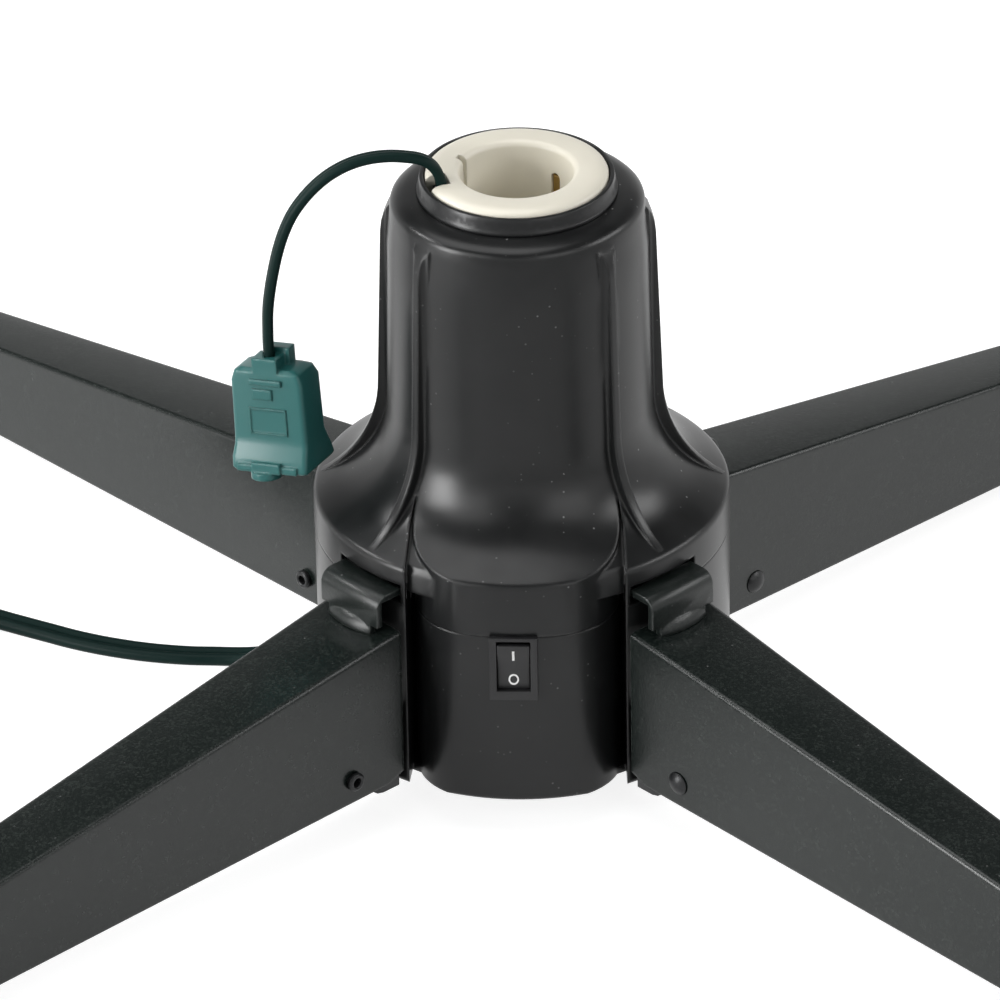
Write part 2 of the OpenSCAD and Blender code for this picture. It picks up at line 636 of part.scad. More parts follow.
module bracket() {
    back = hub_r + 0.15;
    difference() {
        union() {
            translate([back, -12.3, -0.4]) cube([2, 24.6, 25]);
            for (y = [-12.3, 10.3]) translate([0, y + 2, 0]) rotate([90, 0, 0]) linear_extrude(2)
                polygon([[back, 4], [back, -0.4], [69, -0.4], [71.4, 0.2], [73.2, 1.6], [74, 3.6],
                         [pivot_r, pivot_z - 6], [pivot_r, pivot_z + 6], [72, 24.6], [back, 24.6]]);
            for (y = [-12.3, 10.3]) translate([pivot_r, y, pivot_z]) rotate([-90, 0, 0])
                cylinder(r = 6, h = 2);
        }
        translate([pivot_r, -40, pivot_z]) rotate([-90, 0, 0]) cylinder(r = rivet_r, h = 80, $fn = 48);
        for (y = [-7, 7]) translate([hub_r - 5, y, 15]) rotate([0, 90, 0])
            cylinder(r = 1.6, h = 12, $fn = 24);
    }
}

module bracket_screws() color("#8f9397") for (az = [45 : 90 : 315]) at_leg(az) for (y = [-7, 7])
    translate([0, y, 15]) rotate([0, 90, 0]) {
        translate([0, 0, hub_r + 2.2]) cylinder(r1 = 2.9, r2 = 2.2, h = 1.8, $fn = 32);
        translate([0, 0, 58.6]) cylinder(r = 1.5, h = hub_r + 3 - 58.6, $fn = 24);
    }

// Tubular rivet: domed head on one side of the leg, rolled tail on the other
module rivet() {
    out = leg_half(pivot_r) + 0.2;
    translate([pivot_r, 0, pivot_z]) rotate([-90, 0, 0]) difference() {
        union() {
            translate([0, 0, -out - 0.1]) cylinder(r = rivet_r, h = 2 * out + 0.2, $fn = 48);
            intersection() {
                translate([0, 0, -out + 3.2]) sphere(r = 4.9, $fn = 48);
                translate([0, 0, -out - 3]) cylinder(r = 3.7, h = 3, $fn = 48);
            }
            translate([0, 0, out]) rotate_extrude() translate([2.1, 0.9]) circle(r = 0.85, $fn = 24);
            translate([0, 0, out]) cylinder(r = 2.6, h = 1.1, $fn = 48);
        }
        translate([0, 0, -6]) cylinder(r = 1.45, h = 40, $fn = 32);
    }
}

module foot() {
    start = leg_reach - 24;
    difference() {
        hull() for (r = [start, leg_reach + 2.2])
            translate([r, 0, 0]) rotate([90, 0, 90]) linear_extrude(0.02)
                translate([-leg_half(r) - 1.8, -hub_lift])
                    square([2 * leg_half(r) + 3.6, leg_top(r) + hub_lift + 1.8]);
        hull() for (r = [start - 1, leg_reach + 0.1])
            translate([r, 0, 0]) rotate([90, 0, 90]) linear_extrude(0.02)
                translate([-leg_half(r) - 0.02, leg_low(r) - 0.1])
                    square([2 * leg_half(r) + 0.04, leg_top(r) - leg_low(r) + 0.12]);
    }
}

module leg_front_right() color("#1c2b26") at_leg(315) leg();
module leg_back_right() color("#1c2b26") at_leg(45) leg();
module leg_back_left() color("#1c2b26") at_leg(135) leg();
module leg_front_left() color("#1c2b26") at_leg(225) leg();
module hook_front_right() color("#1c2b26") at_leg(315) hook();
module hook_back_right() color("#1c2b26") at_leg(45) hook();
module hook_back_left() color("#1c2b26") at_leg(135) hook();
module hook_front_left() color("#1c2b26") at_leg(225) hook();
module bracket_front_right() color("#55585b") at_leg(315) bracket();
module bracket_back_right() color("#55585b") at_leg(45) bracket();
module bracket_back_left() color("#55585b") at_leg(135) bracket();
module bracket_front_left() color("#55585b") at_leg(225) bracket();
module rivet_front_right() color("#2b2e30") at_leg(315) rivet();
module rivet_back_right() color("#2b2e30") at_leg(45) rivet();
module rivet_back_left() color("#2b2e30") at_leg(135) rivet();
module rivet_front_left() color("#2b2e30") at_leg(225) rivet();
module foot_front_right() color("#141516") at_leg(315) foot();
module foot_back_right() color("#141516") at_leg(45) foot();
module foot_back_left() color("#141516") at_leg(135) foot();
module foot_front_left() color("#141516") at_leg(225) foot();

// ---------------------------------------------------------------- mains cord

module at_boot() {
    translate([boot_start_r * cos(boot_az), boot_start_r * sin(boot_az), boot_z])
        rotate([0, 0, boot_az]) rotate([0, 90 + boot_tilt, 0]) children();
}

module cord_boot() color("#0f3a2c") at_boot() union() {
    translate([0, 0, -6]) cylinder(r = 4.2, h = 4, $fn = 32);
    translate([0, 0, -3]) cylinder(r = 4.9, h = 8, $fn = 32);
    translate([0, 0, 2.8]) cylinder(r = 6.6, h = 2.2, $fn = 32);
    translate([0, 0, 4.9]) cylinder(r1 = 5.5, r2 = 4.4, h = boot_len - 4.9, $fn = 32);
    for (i = [0 : 4]) translate([0, 0, 7 + 3 * i]) cylinder(r = 5.7 - 0.16 * i, h = 1.2, $fn = 32);
}

module cord_clamp() color("#1d1f22") at_hub() rotate([0, 0, boot_az]) {
    translate([38, -8, 2.4]) cube([7, 16, 9]);
    translate([39, -5.5, 11.35]) cube([5, 11, 2]);
}

module mains_cord() color("#0f3a2c")
    flat_cord(mains_route, [for (i = [0 : len(mains_route) - 1]) level(tangent(mains_route, i))],
        cord_w, cord_t);

// Two flat layers: in along the lower, a climb in the half turn where it reverses, out along the upper
function coil_radius(t) = t < coil_turns ? coil_outer - coil_pitch * t
    : t < coil_turns + 0.5 ? coil_inner : coil_inner + coil_pitch * (t - coil_turns - 0.5);
function coil_height(t) = t < coil_turns ? 0
    : t > coil_turns + 0.5 ? coil_lift : coil_lift * (1 - cos(360 * (t - coil_turns))) / 2;
function coil_point(t) = let (a = coil_start_angle + 360 * t)
    [coil_centre[0] + coil_radius(t) * cos(a), coil_centre[1] + coil_radius(t) * sin(a),
     cord_low + coil_rest + coil_height(t)];
coil_run = [for (i = [0 : coil_steps * coil_total]) coil_point(i / coil_steps)];
coil_heading = unit(coil_run[len(coil_run) - 1] - coil_run[len(coil_run) - 2]);
coil_end = coil_run[len(coil_run) - 1] + cord_w * coil_heading;
coil_path = concat([coil_join], coil_run, [coil_end]);

function path_length(p) = sum_of([for (i = [1 : len(p) - 1]) norm(p[i] - p[i - 1])]);
function sum_of(v, i = 0) = i < len(v) ? v[i] + sum_of(v, i + 1) : 0;
function turn_gap(i) = min([for (j = [i + coil_steps - 3 : i + coil_steps + 3]) if (j < len(coil_run))
    norm([coil_run[j][0], coil_run[j][1]] - [coil_run[i][0], coil_run[i][1]])]) - cord_w;
echo(free_cord = path_length(mains_route), coil = path_length(coil_path), top_cord = path_length(top_route));
echo(least_gap_in_layer = min([for (i = [0 : coil_steps * (coil_turns - 1.2)]) turn_gap(i)]),
     gap_between_layers = coil_lift - cord_t);

module mains_coil() color("#0f3a2c")
    flat_cord(coil_path, [for (i = [0 : len(coil_path) - 1]) level(tangent(coil_path, i))],
        cord_w, cord_t, 6);

module at_plug() {
    translate(coil_end) rotate([0, 0, atan2(coil_heading[1], coil_heading[0])]) children();
}

module mains_plug() color("#0f3a2c") at_plug() difference() {
    union() {
        translate([0, 0, -1]) rotate([0, 90, 0]) cylinder(r1 = 3.4, r2 = 5, h = 12, $fn = 32);
        translate([11.5, -7, 1.2 - coil_end[2]]) cube([13, 14, 9]);
        translate([21, -8.5, 0.1 - coil_end[2]]) cube([6, 17, 11.5]);
    }
    translate([-1, -8, -coil_end[2] - 5]) cube([30, 16, 5.05]);
}

module plug_blades() color("#c9a04a") at_plug() for (y = [-blade_x, blade_x])
    translate([26.9, y - 0.75, 2.6 - coil_end[2]]) cube([16, 1.5, 6.4]);

// ---------------------------------------------------------------- lamp cord and outlet

module top_cord() color("#0f4a35")
    flat_cord(top_route, [for (i = [0 : len(top_route) - 1]) i < 3 ? [0.3, -0.95, 0] : [0.12, -0.95, 0.3]],
        lamp_w, lamp_t);

module at_outlet() { translate(outlet_pos) rotate(outlet_tilt) children(); }

// Rounded slice of the outlet at height z, front and back given as distances from the cord
module outlet_slice(z, half, front, back, r = 1.6) {
    translate([0, 0, z]) linear_extrude(0.02) hull() for (x = [-half + r, half - r])
        for (y = [-front + r, back - r]) translate([x, y]) circle(r = r, $fn = 24);
}

module outlet_body() color("#12564a") at_outlet() difference() {
    translate([outlet_mid, 0, 0]) {
        // shoulders and straight body
        hull() {
            outlet_slice(-7, 8.9, 5, 4.2);
            outlet_slice(-8, 10.6, 6.2, 6);
            outlet_slice(-11, 11.7, 6.4, 7.2);
            outlet_slice(-28.5, 12, 6.4, 7.5);
        }
        hull() {
            outlet_slice(-28.5, 12, 6.4, 7.5);
            outlet_slice(-31.2, 12.1, 6.6, 8.8);
        }
        // flare and lip
        hull() {
            outlet_slice(-31.2, 12.1, 6.6, 8.8);
            outlet_slice(-35, 12.4, 8.4, 10.7);
            outlet_slice(-38, 12.4, 8.6, 12);
            outlet_slice(-38.8, 11.9, 8.2, 11.6);
        }
        // cord entry: a low boss in front of the cord and a taller one behind it
        translate([-4.1, -6.25, -9]) cube([8, 6.75, 5.5]);
        translate([-3, 0, -9]) cube([8.4, 4.1, 7.2]);
        // pads on the lip, and a swelling between them over a rounded tab
        translate([-0.5, 0, 0]) {
            for (x = [-7.1, 7.1]) translate([x - 2.6, -9.2, -38.7]) cube([5.2, 1.1, 2.2]);
            translate([-4.6, -9.9, -38.7]) cube([9.2, 2, 3.2]);
            translate([-1.5, -6.4, -40.8]) cylinder(r = 4.6, h = 2.2, $fn = 48);
        }
    }
    translate([outlet_entry[0], outlet_entry[1], -5.6]) rotate([0, 0, outlet_entry_turn])
        translate([-lamp_w / 2 - 0.05, -lamp_t / 2 - 0.05, 0]) cube([lamp_w + 0.1, lamp_t + 0.1, 9]);
    for (x = [-blade_x, blade_x]) translate([x - 1, -3.4, -43]) cube([2, 7.4, 18.5]);
}

// Raised mouldings on the outlet's face: a bar, a square pad and the frame of a bare panel
module outlet_cover() color("#136052") at_outlet() translate([outlet_mid, 0, 0]) {
    translate([-5.2, -7.1, -11.7]) cube([10.4, 0.7, 1.8]);
    translate([-4.5, -6.9, -16.4]) cube([6.4, 0.5, 3.4]);
    difference() {
        translate([-6.1, -6.8, -27.5]) cube([12.2, 0.4, 8.5]);
        translate([-5.6, -7.6, -27]) cube([11.2, 1, 7.5]);
    }
}

module outlet_contacts() color("#c9a04a") at_outlet() for (x = [-blade_x, blade_x])
    translate([x - 0.9, -3.2, -28.3]) cube([0.5, 7, 3.6]);

// ---------------------------------------------------------------- assembly

upper_housing();
top_bush();
base_housing();
bottom_cover();
housing_screws();
motor_deck();
lower_race();
bearing_cage();
bearing_balls();
upper_race();
motor_can();
motor_shaft();
motor_screws();
pinion();
drive_gear();
pole_socket();
pole_spring();
slip_ring_lower();
slip_ring_upper();
riser_cord();
brush_holder();
brush_springs();
switch_frame();
switch_rocker();
switch_terminals();
leg_front_right();
leg_back_right();
leg_back_left();
leg_front_left();
hook_front_right();
hook_back_right();
hook_back_left();
hook_front_left();
bracket_front_right();
bracket_back_right();
bracket_back_left();
bracket_front_left();
rivet_front_right();
rivet_back_right();
rivet_back_left();
rivet_front_left();
foot_front_right();
foot_back_right();
foot_back_left();
foot_front_left();
bracket_screws();
cord_boot();
cord_clamp();
mains_cord();
mains_coil();
mains_plug();
plug_blades();
top_cord();
outlet_body();
outlet_cover();
outlet_contacts();
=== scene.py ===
"""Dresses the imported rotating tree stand: finishes, real cords, camera, floor and studio light.

Everything is in metres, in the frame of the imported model: the floor is z = 0, the pole axis is
x = y = 0 and the switch faces -Y. Sizes are written in millimetres and scaled by MM where that
reads better.
"""

import logging
import math
from dataclasses import dataclass
from enum import Enum
from typing import Sequence

import bmesh
import bpy
from mathutils import Matrix, Vector


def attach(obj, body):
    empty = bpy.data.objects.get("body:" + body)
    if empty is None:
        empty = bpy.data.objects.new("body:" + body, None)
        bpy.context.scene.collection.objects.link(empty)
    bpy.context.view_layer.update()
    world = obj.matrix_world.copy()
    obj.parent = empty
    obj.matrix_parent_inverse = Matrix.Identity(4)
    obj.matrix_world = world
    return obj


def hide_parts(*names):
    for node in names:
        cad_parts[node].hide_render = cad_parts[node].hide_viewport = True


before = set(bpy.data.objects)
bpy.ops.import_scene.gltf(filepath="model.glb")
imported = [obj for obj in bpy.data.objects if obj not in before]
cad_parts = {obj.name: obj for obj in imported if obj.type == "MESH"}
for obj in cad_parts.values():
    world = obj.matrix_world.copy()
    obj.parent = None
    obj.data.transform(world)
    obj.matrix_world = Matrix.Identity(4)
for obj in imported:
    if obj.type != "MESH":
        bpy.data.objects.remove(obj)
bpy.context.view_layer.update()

LOG = logging.getLogger("tree_stand")
MM = 0.001
CORNERS = ("front_right", "back_right", "back_left", "front_left")

Rgb = tuple[float, float, float]
Point = tuple[float, float, float]
Feed = object  # a number, a colour, a node, or a node's output socket
Sockets = bpy.types.bpy_prop_collection


def grey(value: float) -> Rgb:
    """A neutral linear colour."""
    return (value, value, value)


def link(piece: bpy.types.Object) -> None:
    """Puts an object into the scene."""
    bpy.context.scene.collection.objects.link(piece)


# ---------- shader building blocks


class Graph:
    """A thin layer over a node tree that adds nodes and links them by socket name."""

    def __init__(self, tree: bpy.types.NodeTree) -> None:
        """Keeps the node tree that the graph writes into."""
        self.tree = tree

    def add(self, kind: str, settings: dict | None = None, **inputs: Feed) -> bpy.types.Node:
        """Adds one node.

        Args:
            kind: the node's type, without its ShaderNode prefix.
            settings: properties of the node itself.
            inputs: value or source for each input socket; spaces in names are underscores.

        Returns:
            The new node.
        """
        node = self.tree.nodes.new("ShaderNode" + kind)
        for name, value in (settings or {}).items():
            setattr(node, name, value)
        for name, value in inputs.items():
            self.feed(node, name.replace("_", " "), value)
        return node

    def feed(self, node: bpy.types.Node, name: str, value: Feed) -> None:
        """Sets or links one input of a node.

        Args:
            node: the node that takes the value.
            name: the input's name, or its number as text.
            value: what the input gets.
        """
        socket = node.inputs[int(name)] if name.isdigit() else node.inputs[name]
        if isinstance(value, bpy.types.Node):
            self.tree.links.new(value.outputs[0], socket)
        elif isinstance(value, bpy.types.NodeSocket):
            self.tree.links.new(value, socket)
        elif socket.type == "RGBA" and len(value) == 3:
            socket.default_value = (*value, 1.0)
        else:
            socket.default_value = value

    def math(self, operation: str, *values: Feed, clamp: bool = False) -> bpy.types.Node:
        """Adds a Math node and feeds its inputs in order.

        Args:
            operation: the node's operation.
            values: what the inputs get.
            clamp: whether the result stays within 0 and 1.

        Returns:
            The new node.
        """
        node = self.add("Math", {"operation": operation, "use_clamp": clamp})
        for index, value in enumerate(values):
            self.feed(node, str(index), value)
        return node

    def mix(self, factor: Feed, first: Feed, second: Feed) -> bpy.types.NodeSocket:
        """Mixes two colours.

        Args:
            factor: share of the second colour.
            first: colour at factor 0.
            second: colour at factor 1.

        Returns:
            The mixed colour's socket.
        """
        node = self.add("Mix", {"data_type": "RGBA"})
        for index, value in ((0, factor), (6, first), (7, second)):
            self.feed(node, str(index), value)
        return node.outputs[2]

    def span(self, value: Feed, low: float, high: float,
             start: float = 0.0, end: float = 1.0) -> bpy.types.Node:
        """Maps a value from one range to another and clamps it there.

        Args:
            value: what is mapped.
            low: where the first range begins.
            high: where it ends.
            start: what low becomes.
            end: what high becomes.

        Returns:
            The new node.
        """
        node = self.add("MapRange")
        for index, item in enumerate((value, low, high, start, end)):
            self.feed(node, str(index), item)
        return node

    def place(self) -> bpy.types.NodeSocket:
        """Position on the object itself, in metres."""
        return self.add("TexCoord").outputs["Object"]

    def noise(self, scale: Feed, detail: float) -> bpy.types.Node:
        """Cloudy noise fixed to the object, with so many finer layers as its detail says."""
        return self.add("TexNoise", Vector=self.place(), Scale=scale, Detail=detail)


COLOUR, NUMBER = "NodeSocketColor", "NodeSocketFloat"


class Effect:
    """A shared shader group: named inputs and outputs, built once and placed where needed."""

    name = "effect"
    inputs: Sequence[tuple[str, str, object]] = ()
    outputs: Sequence[tuple[str, str]] = ()
    _made: dict[str, bpy.types.NodeTree] = {}

    def build(self, graph: Graph, given: Sockets) -> dict[str, object]:
        """Fills the group.

        Args:
            graph: the group's own graph.
            given: the group's own inputs, by name.

        Returns:
            What feeds each named output.
        """
        raise NotImplementedError

    def tree(self) -> bpy.types.NodeTree:
        """Makes the group's node tree on first use.

        Returns:
            The tree.
        """
        if self.name in self._made:
            return self._made[self.name]
        tree = bpy.data.node_groups.new(self.name, "ShaderNodeTree")
        for title, kind, value in self.inputs:
            socket = tree.interface.new_socket(title, in_out="INPUT", socket_type=kind)
            socket.default_value = (*value, 1.0) if kind == COLOUR else value
        for title, kind in self.outputs:
            tree.interface.new_socket(title, in_out="OUTPUT", socket_type=kind)
        given = tree.nodes.new("NodeGroupInput").outputs
        sink = tree.nodes.new("NodeGroupOutput")
        graph = Graph(tree)
        for title, value in self.build(graph, given).items():
            graph.feed(sink, title, value)
        self._made[self.name] = tree
        return tree

    def place(self, graph: Graph, **values: Feed) -> bpy.types.Node:
        """Puts the group into a material's graph, with the values that its inputs get there."""
        return graph.add("Group", {"node_tree": self.tree()}, **values)


class MouldGrain(Effect):
    """Fine spark-eroded texture of moulded plastic, with the slow waviness of its walls."""

    name = "mould_grain"
    inputs = (("Scale", NUMBER, 2600.0), ("Wave", NUMBER, 1.0))
    outputs = (("Height", NUMBER),)
    wave_scale = 45.0

    def build(self, graph: Graph, given: Sockets) -> dict[str, object]:
        """Adds fine noise to slow noise."""
        slow = graph.math("MULTIPLY", graph.noise(self.wave_scale, detail=1.0), given["Wave"])
        return {"Height": graph.math("ADD", graph.noise(given["Scale"], detail=3.0), slow)}


class DustSpecks(Effect):
    """Scattered pale specks of dust and lint, more of them on surfaces that face up."""

    name = "dust_specks"
    inputs = (("Color", COLOUR, grey(0.02)), ("Dust", COLOUR, grey(0.35)),
              ("Amount", NUMBER, 0.5), ("Scale", NUMBER, 560.0), ("Film", NUMBER, 0.03))
    outputs = (("Color", COLOUR),)
    speck_size = (0.10, 0.22)    # distance from a cell's centre at which a speck fades
    rarity = (0.88, 0.95)        # a cell's random shade from which it shows
    clump_scale = 60.0
    clump_range = (0.42, 0.62)
    facing_up = (-0.2, 0.9)      # heights of the normal between which the dust grows
    least_share = 0.25           # share of the dust on faces that look down

    def build(self, graph: Graph, given: Sockets) -> dict[str, object]:
        """Keeps few Voronoi cells as specks and adds a thin film on top faces.

        Args:
            graph: the group's own graph.
            given: the group's own inputs, by name.

        Returns:
            What feeds each named output.
        """
        cells = graph.add("TexVoronoi", Vector=graph.place(), Scale=given["Scale"])
        near = graph.span(cells.outputs["Distance"], *self.speck_size, 1.0, 0.0)
        few = graph.span(graph.add("SeparateColor", Color=cells.outputs["Color"]), *self.rarity)
        clumps = graph.span(graph.noise(self.clump_scale, detail=2.0), *self.clump_range)
        normal = graph.add("SeparateXYZ", Vector=graph.add("NewGeometry").outputs["Normal"])
        upward = graph.span(normal.outputs["Z"], *self.facing_up, self.least_share, 1.0)
        lying = graph.math("MULTIPLY", clumps, upward)
        speck = graph.math("MULTIPLY", graph.math("MULTIPLY", near, few), lying)
        speck = graph.math("MULTIPLY", speck, given["Amount"])
        film = graph.math("MULTIPLY", lying, given["Film"])
        mask = graph.math("ADD", speck, film, clamp=True)
        return {"Color": graph.mix(mask, given["Color"], given["Dust"])}


class EdgeWear(Effect):
    """Lighter edges, partly rubbed wear and partly a painted highlight: where a rounded normal leaves
    the true one, broken up by noise.
    """

    name = "edge_wear_and_highlight"
    inputs = (("Color", COLOUR, grey(0.02)), ("Worn", COLOUR, grey(0.1)),
              ("Amount", NUMBER, 0.5), ("Radius", NUMBER, 0.0006))
    outputs = (("Color", COLOUR),)
    edge_range = (0.995, 0.90)   # agreement of the normals at which the lighter edge begins and is full
    break_scale = 380.0
    break_range = (0.35, 0.6)

    def build(self, graph: Graph, given: Sockets) -> dict[str, object]:
        """Compares the bevelled normal with the surface's own.

        Args:
            graph: the group's own graph.
            given: the group's own inputs, by name.

        Returns:
            What feeds each named output.
        """
        rounded = graph.add("Bevel", {"samples": 4}, Radius=given["Radius"])
        own = graph.add("NewGeometry").outputs["Normal"]
        dot = graph.add("VectorMath", {"operation": "DOT_PRODUCT"})
        graph.feed(dot, "0", rounded)
        graph.feed(dot, "1", own)
        edge = graph.span(dot.outputs["Value"], *self.edge_range)
        broken = graph.span(graph.noise(self.break_scale, detail=4.0), *self.break_range)
        # Where the mask is full, the edge colour stands for rubbed wear and, on some finishes, a
        # painted highlight along the edge.
        mask = graph.math("MULTIPLY", graph.math("MULTIPLY", edge, broken), given["Amount"])
        return {"Color": graph.mix(mask, given["Color"], given["Worn"])}


class PaintFlecks(Effect):
    """Sparkle and orange peel of baked powder paint."""

    name = "paint_flecks"
    inputs = (("Color", COLOUR, grey(0.02)), ("Fleck", COLOUR, grey(0.1)),
              ("Amount", NUMBER, 0.5), ("Scale", NUMBER, 1500.0))
    outputs = (("Color", COLOUR), ("Height", NUMBER))
    bright_from = 0.6            # a cell's random shade from which it sparkles
    mottle_scale = 140.0
    mottle_range = (0.3, 0.7)
    mottle_least = 0.3           # share of the sparkle that is left where it is weakest
    peel_scale = 1100.0
    peel_share = 0.6             # share of the peel in the relief; the flecks give the rest

    def build(self, graph: Graph, given: Sockets) -> dict[str, object]:
        """Uses Voronoi cells for the flecks and noise for the peel.

        Args:
            graph: the group's own graph.
            given: the group's own inputs, by name.

        Returns:
            What feeds each named output.
        """
        cells = graph.add("TexVoronoi", Vector=graph.place(), Scale=given["Scale"])
        shade = graph.add("SeparateColor", Color=cells.outputs["Color"])
        bright = graph.span(shade, self.bright_from, 1.0)
        mottle = graph.span(graph.noise(self.mottle_scale, detail=5.0), *self.mottle_range,
                            self.mottle_least, 1.0)
        mask = graph.math("MULTIPLY", graph.math("MULTIPLY", bright, given["Amount"]), mottle)
        peel = graph.math("MULTIPLY", graph.noise(self.peel_scale, detail=2.0), self.peel_share)
        height = graph.math("ADD", peel, graph.math("MULTIPLY", shade, 1.0 - self.peel_share))
        return {"Color": graph.mix(mask, given["Color"], given["Fleck"]),
                "Height": height}


class PatchyGloss(Effect):
    """Roughness that wanders with handling marks and unevenness of the surface."""

    name = "patchy_gloss"
    inputs = (("Roughness", NUMBER, 0.4), ("Spread", NUMBER, 0.08), ("Scale", NUMBER, 35.0))
    outputs = (("Roughness", NUMBER),)

    def build(self, graph: Graph, given: Sockets) -> dict[str, object]:
        """Adds centred noise to the roughness.

        Args:
            graph: the group's own graph.
            given: the group's own inputs, by name.

        Returns:
            What feeds each named output.
        """
        centred = graph.math("SUBTRACT", graph.noise(given["Scale"], detail=4.0), 0.5)
        swing = graph.math("MULTIPLY", centred, given["Spread"])
        return {"Roughness": graph.math("ADD", given["Roughness"], swing, clamp=True)}


# ---------- finishes


MATERIALS: dict[str, bpy.types.Material] = {}


def new_material(name: str) -> tuple[bpy.types.Material, Graph]:
    """Makes an empty material.

    Args:
        name: the material's name.

    Returns:
        The material and its graph.
    """
    material = bpy.data.materials.new(name)
    material.use_nodes = True
    material.node_tree.nodes.clear()
    return material, Graph(material.node_tree)


@dataclass(frozen=True)
class Finish:
    """One surface finish: a Principled shader fed by the shared effects.

    Attributes:
        name: the material's name.
        colour: linear base colour.
        roughness: middle roughness.
        spread: how far the roughness wanders.
        metallic: 1 for bare metal.
        specular: specular level.
        bump: strength of the fine relief.
        grain: scale of the fine relief.
        wave: share of slow waviness in the relief.
        dust: how much dust shows.
        wear: how much the edges are lightened, partly by rubbed wear and partly by a painted highlight.
        worn: colour of the lightened edges.
        fleck: colour of paint flecks, or None for no flecks.
        flecks: how many flecks show.
        edge: radius in metres by which the shader rounds edges.
        depth: height in metres of the fine relief.
        mottle: share of the colour that is left where it is darkest.
        mottle_scale: how fine the colour's slow change is.
        mottle_range: values of its noise at which the colour is darkest and whole.
        film: share of the dust that lies as a thin film.
    """

    name: str
    colour: Rgb
    roughness: float
    spread: float = 0.06
    metallic: float = 0.0
    specular: float = 0.5
    bump: float = 0.15
    grain: float = 2600.0
    wave: float = 0.3
    dust: float = 0.0
    wear: float = 0.0
    worn: Rgb = (0.1, 0.1, 0.1)
    fleck: Rgb | None = None
    flecks: float = 0.4
    edge: float = 0.0004
    depth: float = 0.0001
    mottle: float = 0.86
    mottle_scale: float = 22.0
    mottle_range: tuple[float, float] = (0.3, 0.7)
    film: float = 0.02

    def relief(self, graph: Graph, height: Feed) -> bpy.types.Node:
        """Normal with the fine relief over edges that the shader rounds."""
        rounded = graph.add("Bevel", {"samples": 6}, Radius=self.edge)
        return graph.add("Bump", Strength=self.bump, Distance=self.depth, Height=height, Normal=rounded)

    def tint(self, graph: Graph) -> bpy.types.NodeSocket:
        """Colour before flecks, edge wear with painted edge highlight, and dust."""
        cloud = graph.span(graph.noise(self.mottle_scale, detail=3.0), *self.mottle_range)
        return graph.mix(cloud, tuple(self.mottle * c for c in self.colour), self.colour)

    def make(self) -> bpy.types.Material:
        """Builds the material on first use.

        Returns:
            The material.
        """
        if self.name in MATERIALS:
            return MATERIALS[self.name]
        material, graph = new_material(self.name + "_finish")
        MATERIALS[self.name] = material
        shader = graph.add("BsdfPrincipled", Metallic=self.metallic)
        shader.inputs["Specular IOR Level"].default_value = self.specular
        colour = self.tint(graph)
        height = MouldGrain().place(graph, Scale=self.grain, Wave=self.wave).outputs["Height"]
        if self.fleck:
            paint = PaintFlecks().place(graph, Color=colour, Fleck=self.fleck, Amount=self.flecks)
            colour, height = paint.outputs["Color"], paint.outputs["Height"]
        # Lighter edges: rubbed wear, and on the hub, legs, hooks and outlet also a painted highlight
        # along the edges.
        if self.wear:
            worn = EdgeWear().place(graph, Color=colour, Worn=self.worn, Amount=self.wear)
            colour = worn.outputs["Color"]
        rough = PatchyGloss().place(graph, Roughness=self.roughness, Spread=self.spread)
        if self.dust:
            dust = DustSpecks().place(graph, Color=colour, Amount=self.dust,
                                      Film=self.film * self.dust)
            colour = dust.outputs["Color"]
        graph.feed(shader, "Base Color", colour)
        graph.feed(shader, "Roughness", rough)
        graph.feed(shader, "Normal", self.relief(graph, height))
        graph.add("OutputMaterial", Surface=shader)
        return material


# Hub: its lightened edges are partly rubbed wear and partly a painted highlight along the cap rim and
# the lip.
HUB_PLASTIC = Finish("hub_plastic", (0.0085, 0.009, 0.0093), 0.29, specular=0.38, dust=0.9,
                     bump=0.10, wear=0.3, edge=0.0012)
BLACK_PLASTIC = Finish("black_plastic", (0.008, 0.0085, 0.009), 0.30, specular=0.4, dust=0.3, bump=0.1)
# Legs: the lightened edges are partly rubbed wear and partly a painted highlight along the ridges.
LEG_PAINT = Finish("leg_paint", (0.0055, 0.0088, 0.0078), 0.24, fleck=(0.07, 0.085, 0.075),
                   flecks=0.25, bump=0.30, dust=0.25, wear=0.5, worn=(0.20, 0.22, 0.21), edge=0.0011)
# Hooks: the lightened edges are partly rubbed wear and partly a painted highlight along the top edge.
HOOK_PAINT = Finish("hook_paint", (0.0060, 0.0092, 0.0082), 0.34, specular=0.42,
                    fleck=(0.07, 0.085, 0.075), flecks=0.15, bump=0.30, dust=0.4,
                    wear=0.4, worn=(0.20, 0.22, 0.21), edge=0.0008)
BLACK_STEEL = Finish("black_steel", (0.016, 0.017, 0.018), 0.38, metallic=0.3, wear=0.3, bump=0.2)
FOOT_RUBBER = Finish("foot_rubber", (0.012, 0.012, 0.013), 0.7, dust=0.4, bump=0.4, grain=1600.0)
ZINC_STEEL = Finish("zinc_steel", (0.55, 0.56, 0.57), 0.32, metallic=1.0, wear=0.2,
                    worn=(0.75, 0.75, 0.75), bump=0.2)
GEAR_NYLON = Finish("gear_nylon", (0.74, 0.71, 0.62), 0.4, bump=0.1)
IVORY_PLASTIC = Finish("ivory_plastic", (0.83, 0.79, 0.675), 0.33, bump=0.08, edge=0.0006)
CONTACT_BRASS = Finish("contact_brass", (0.62, 0.42, 0.15), 0.3, metallic=1.0, bump=0.2, wear=0.2,
                       worn=(0.85, 0.65, 0.3))
BROWN_RESIN = Finish("brown_resin", (0.07, 0.04, 0.02), 0.5, bump=0.2)
SWITCH_PLASTIC = Finish("switch_plastic", (0.012, 0.012, 0.013), 0.42, bump=0.25, grain=3200.0)
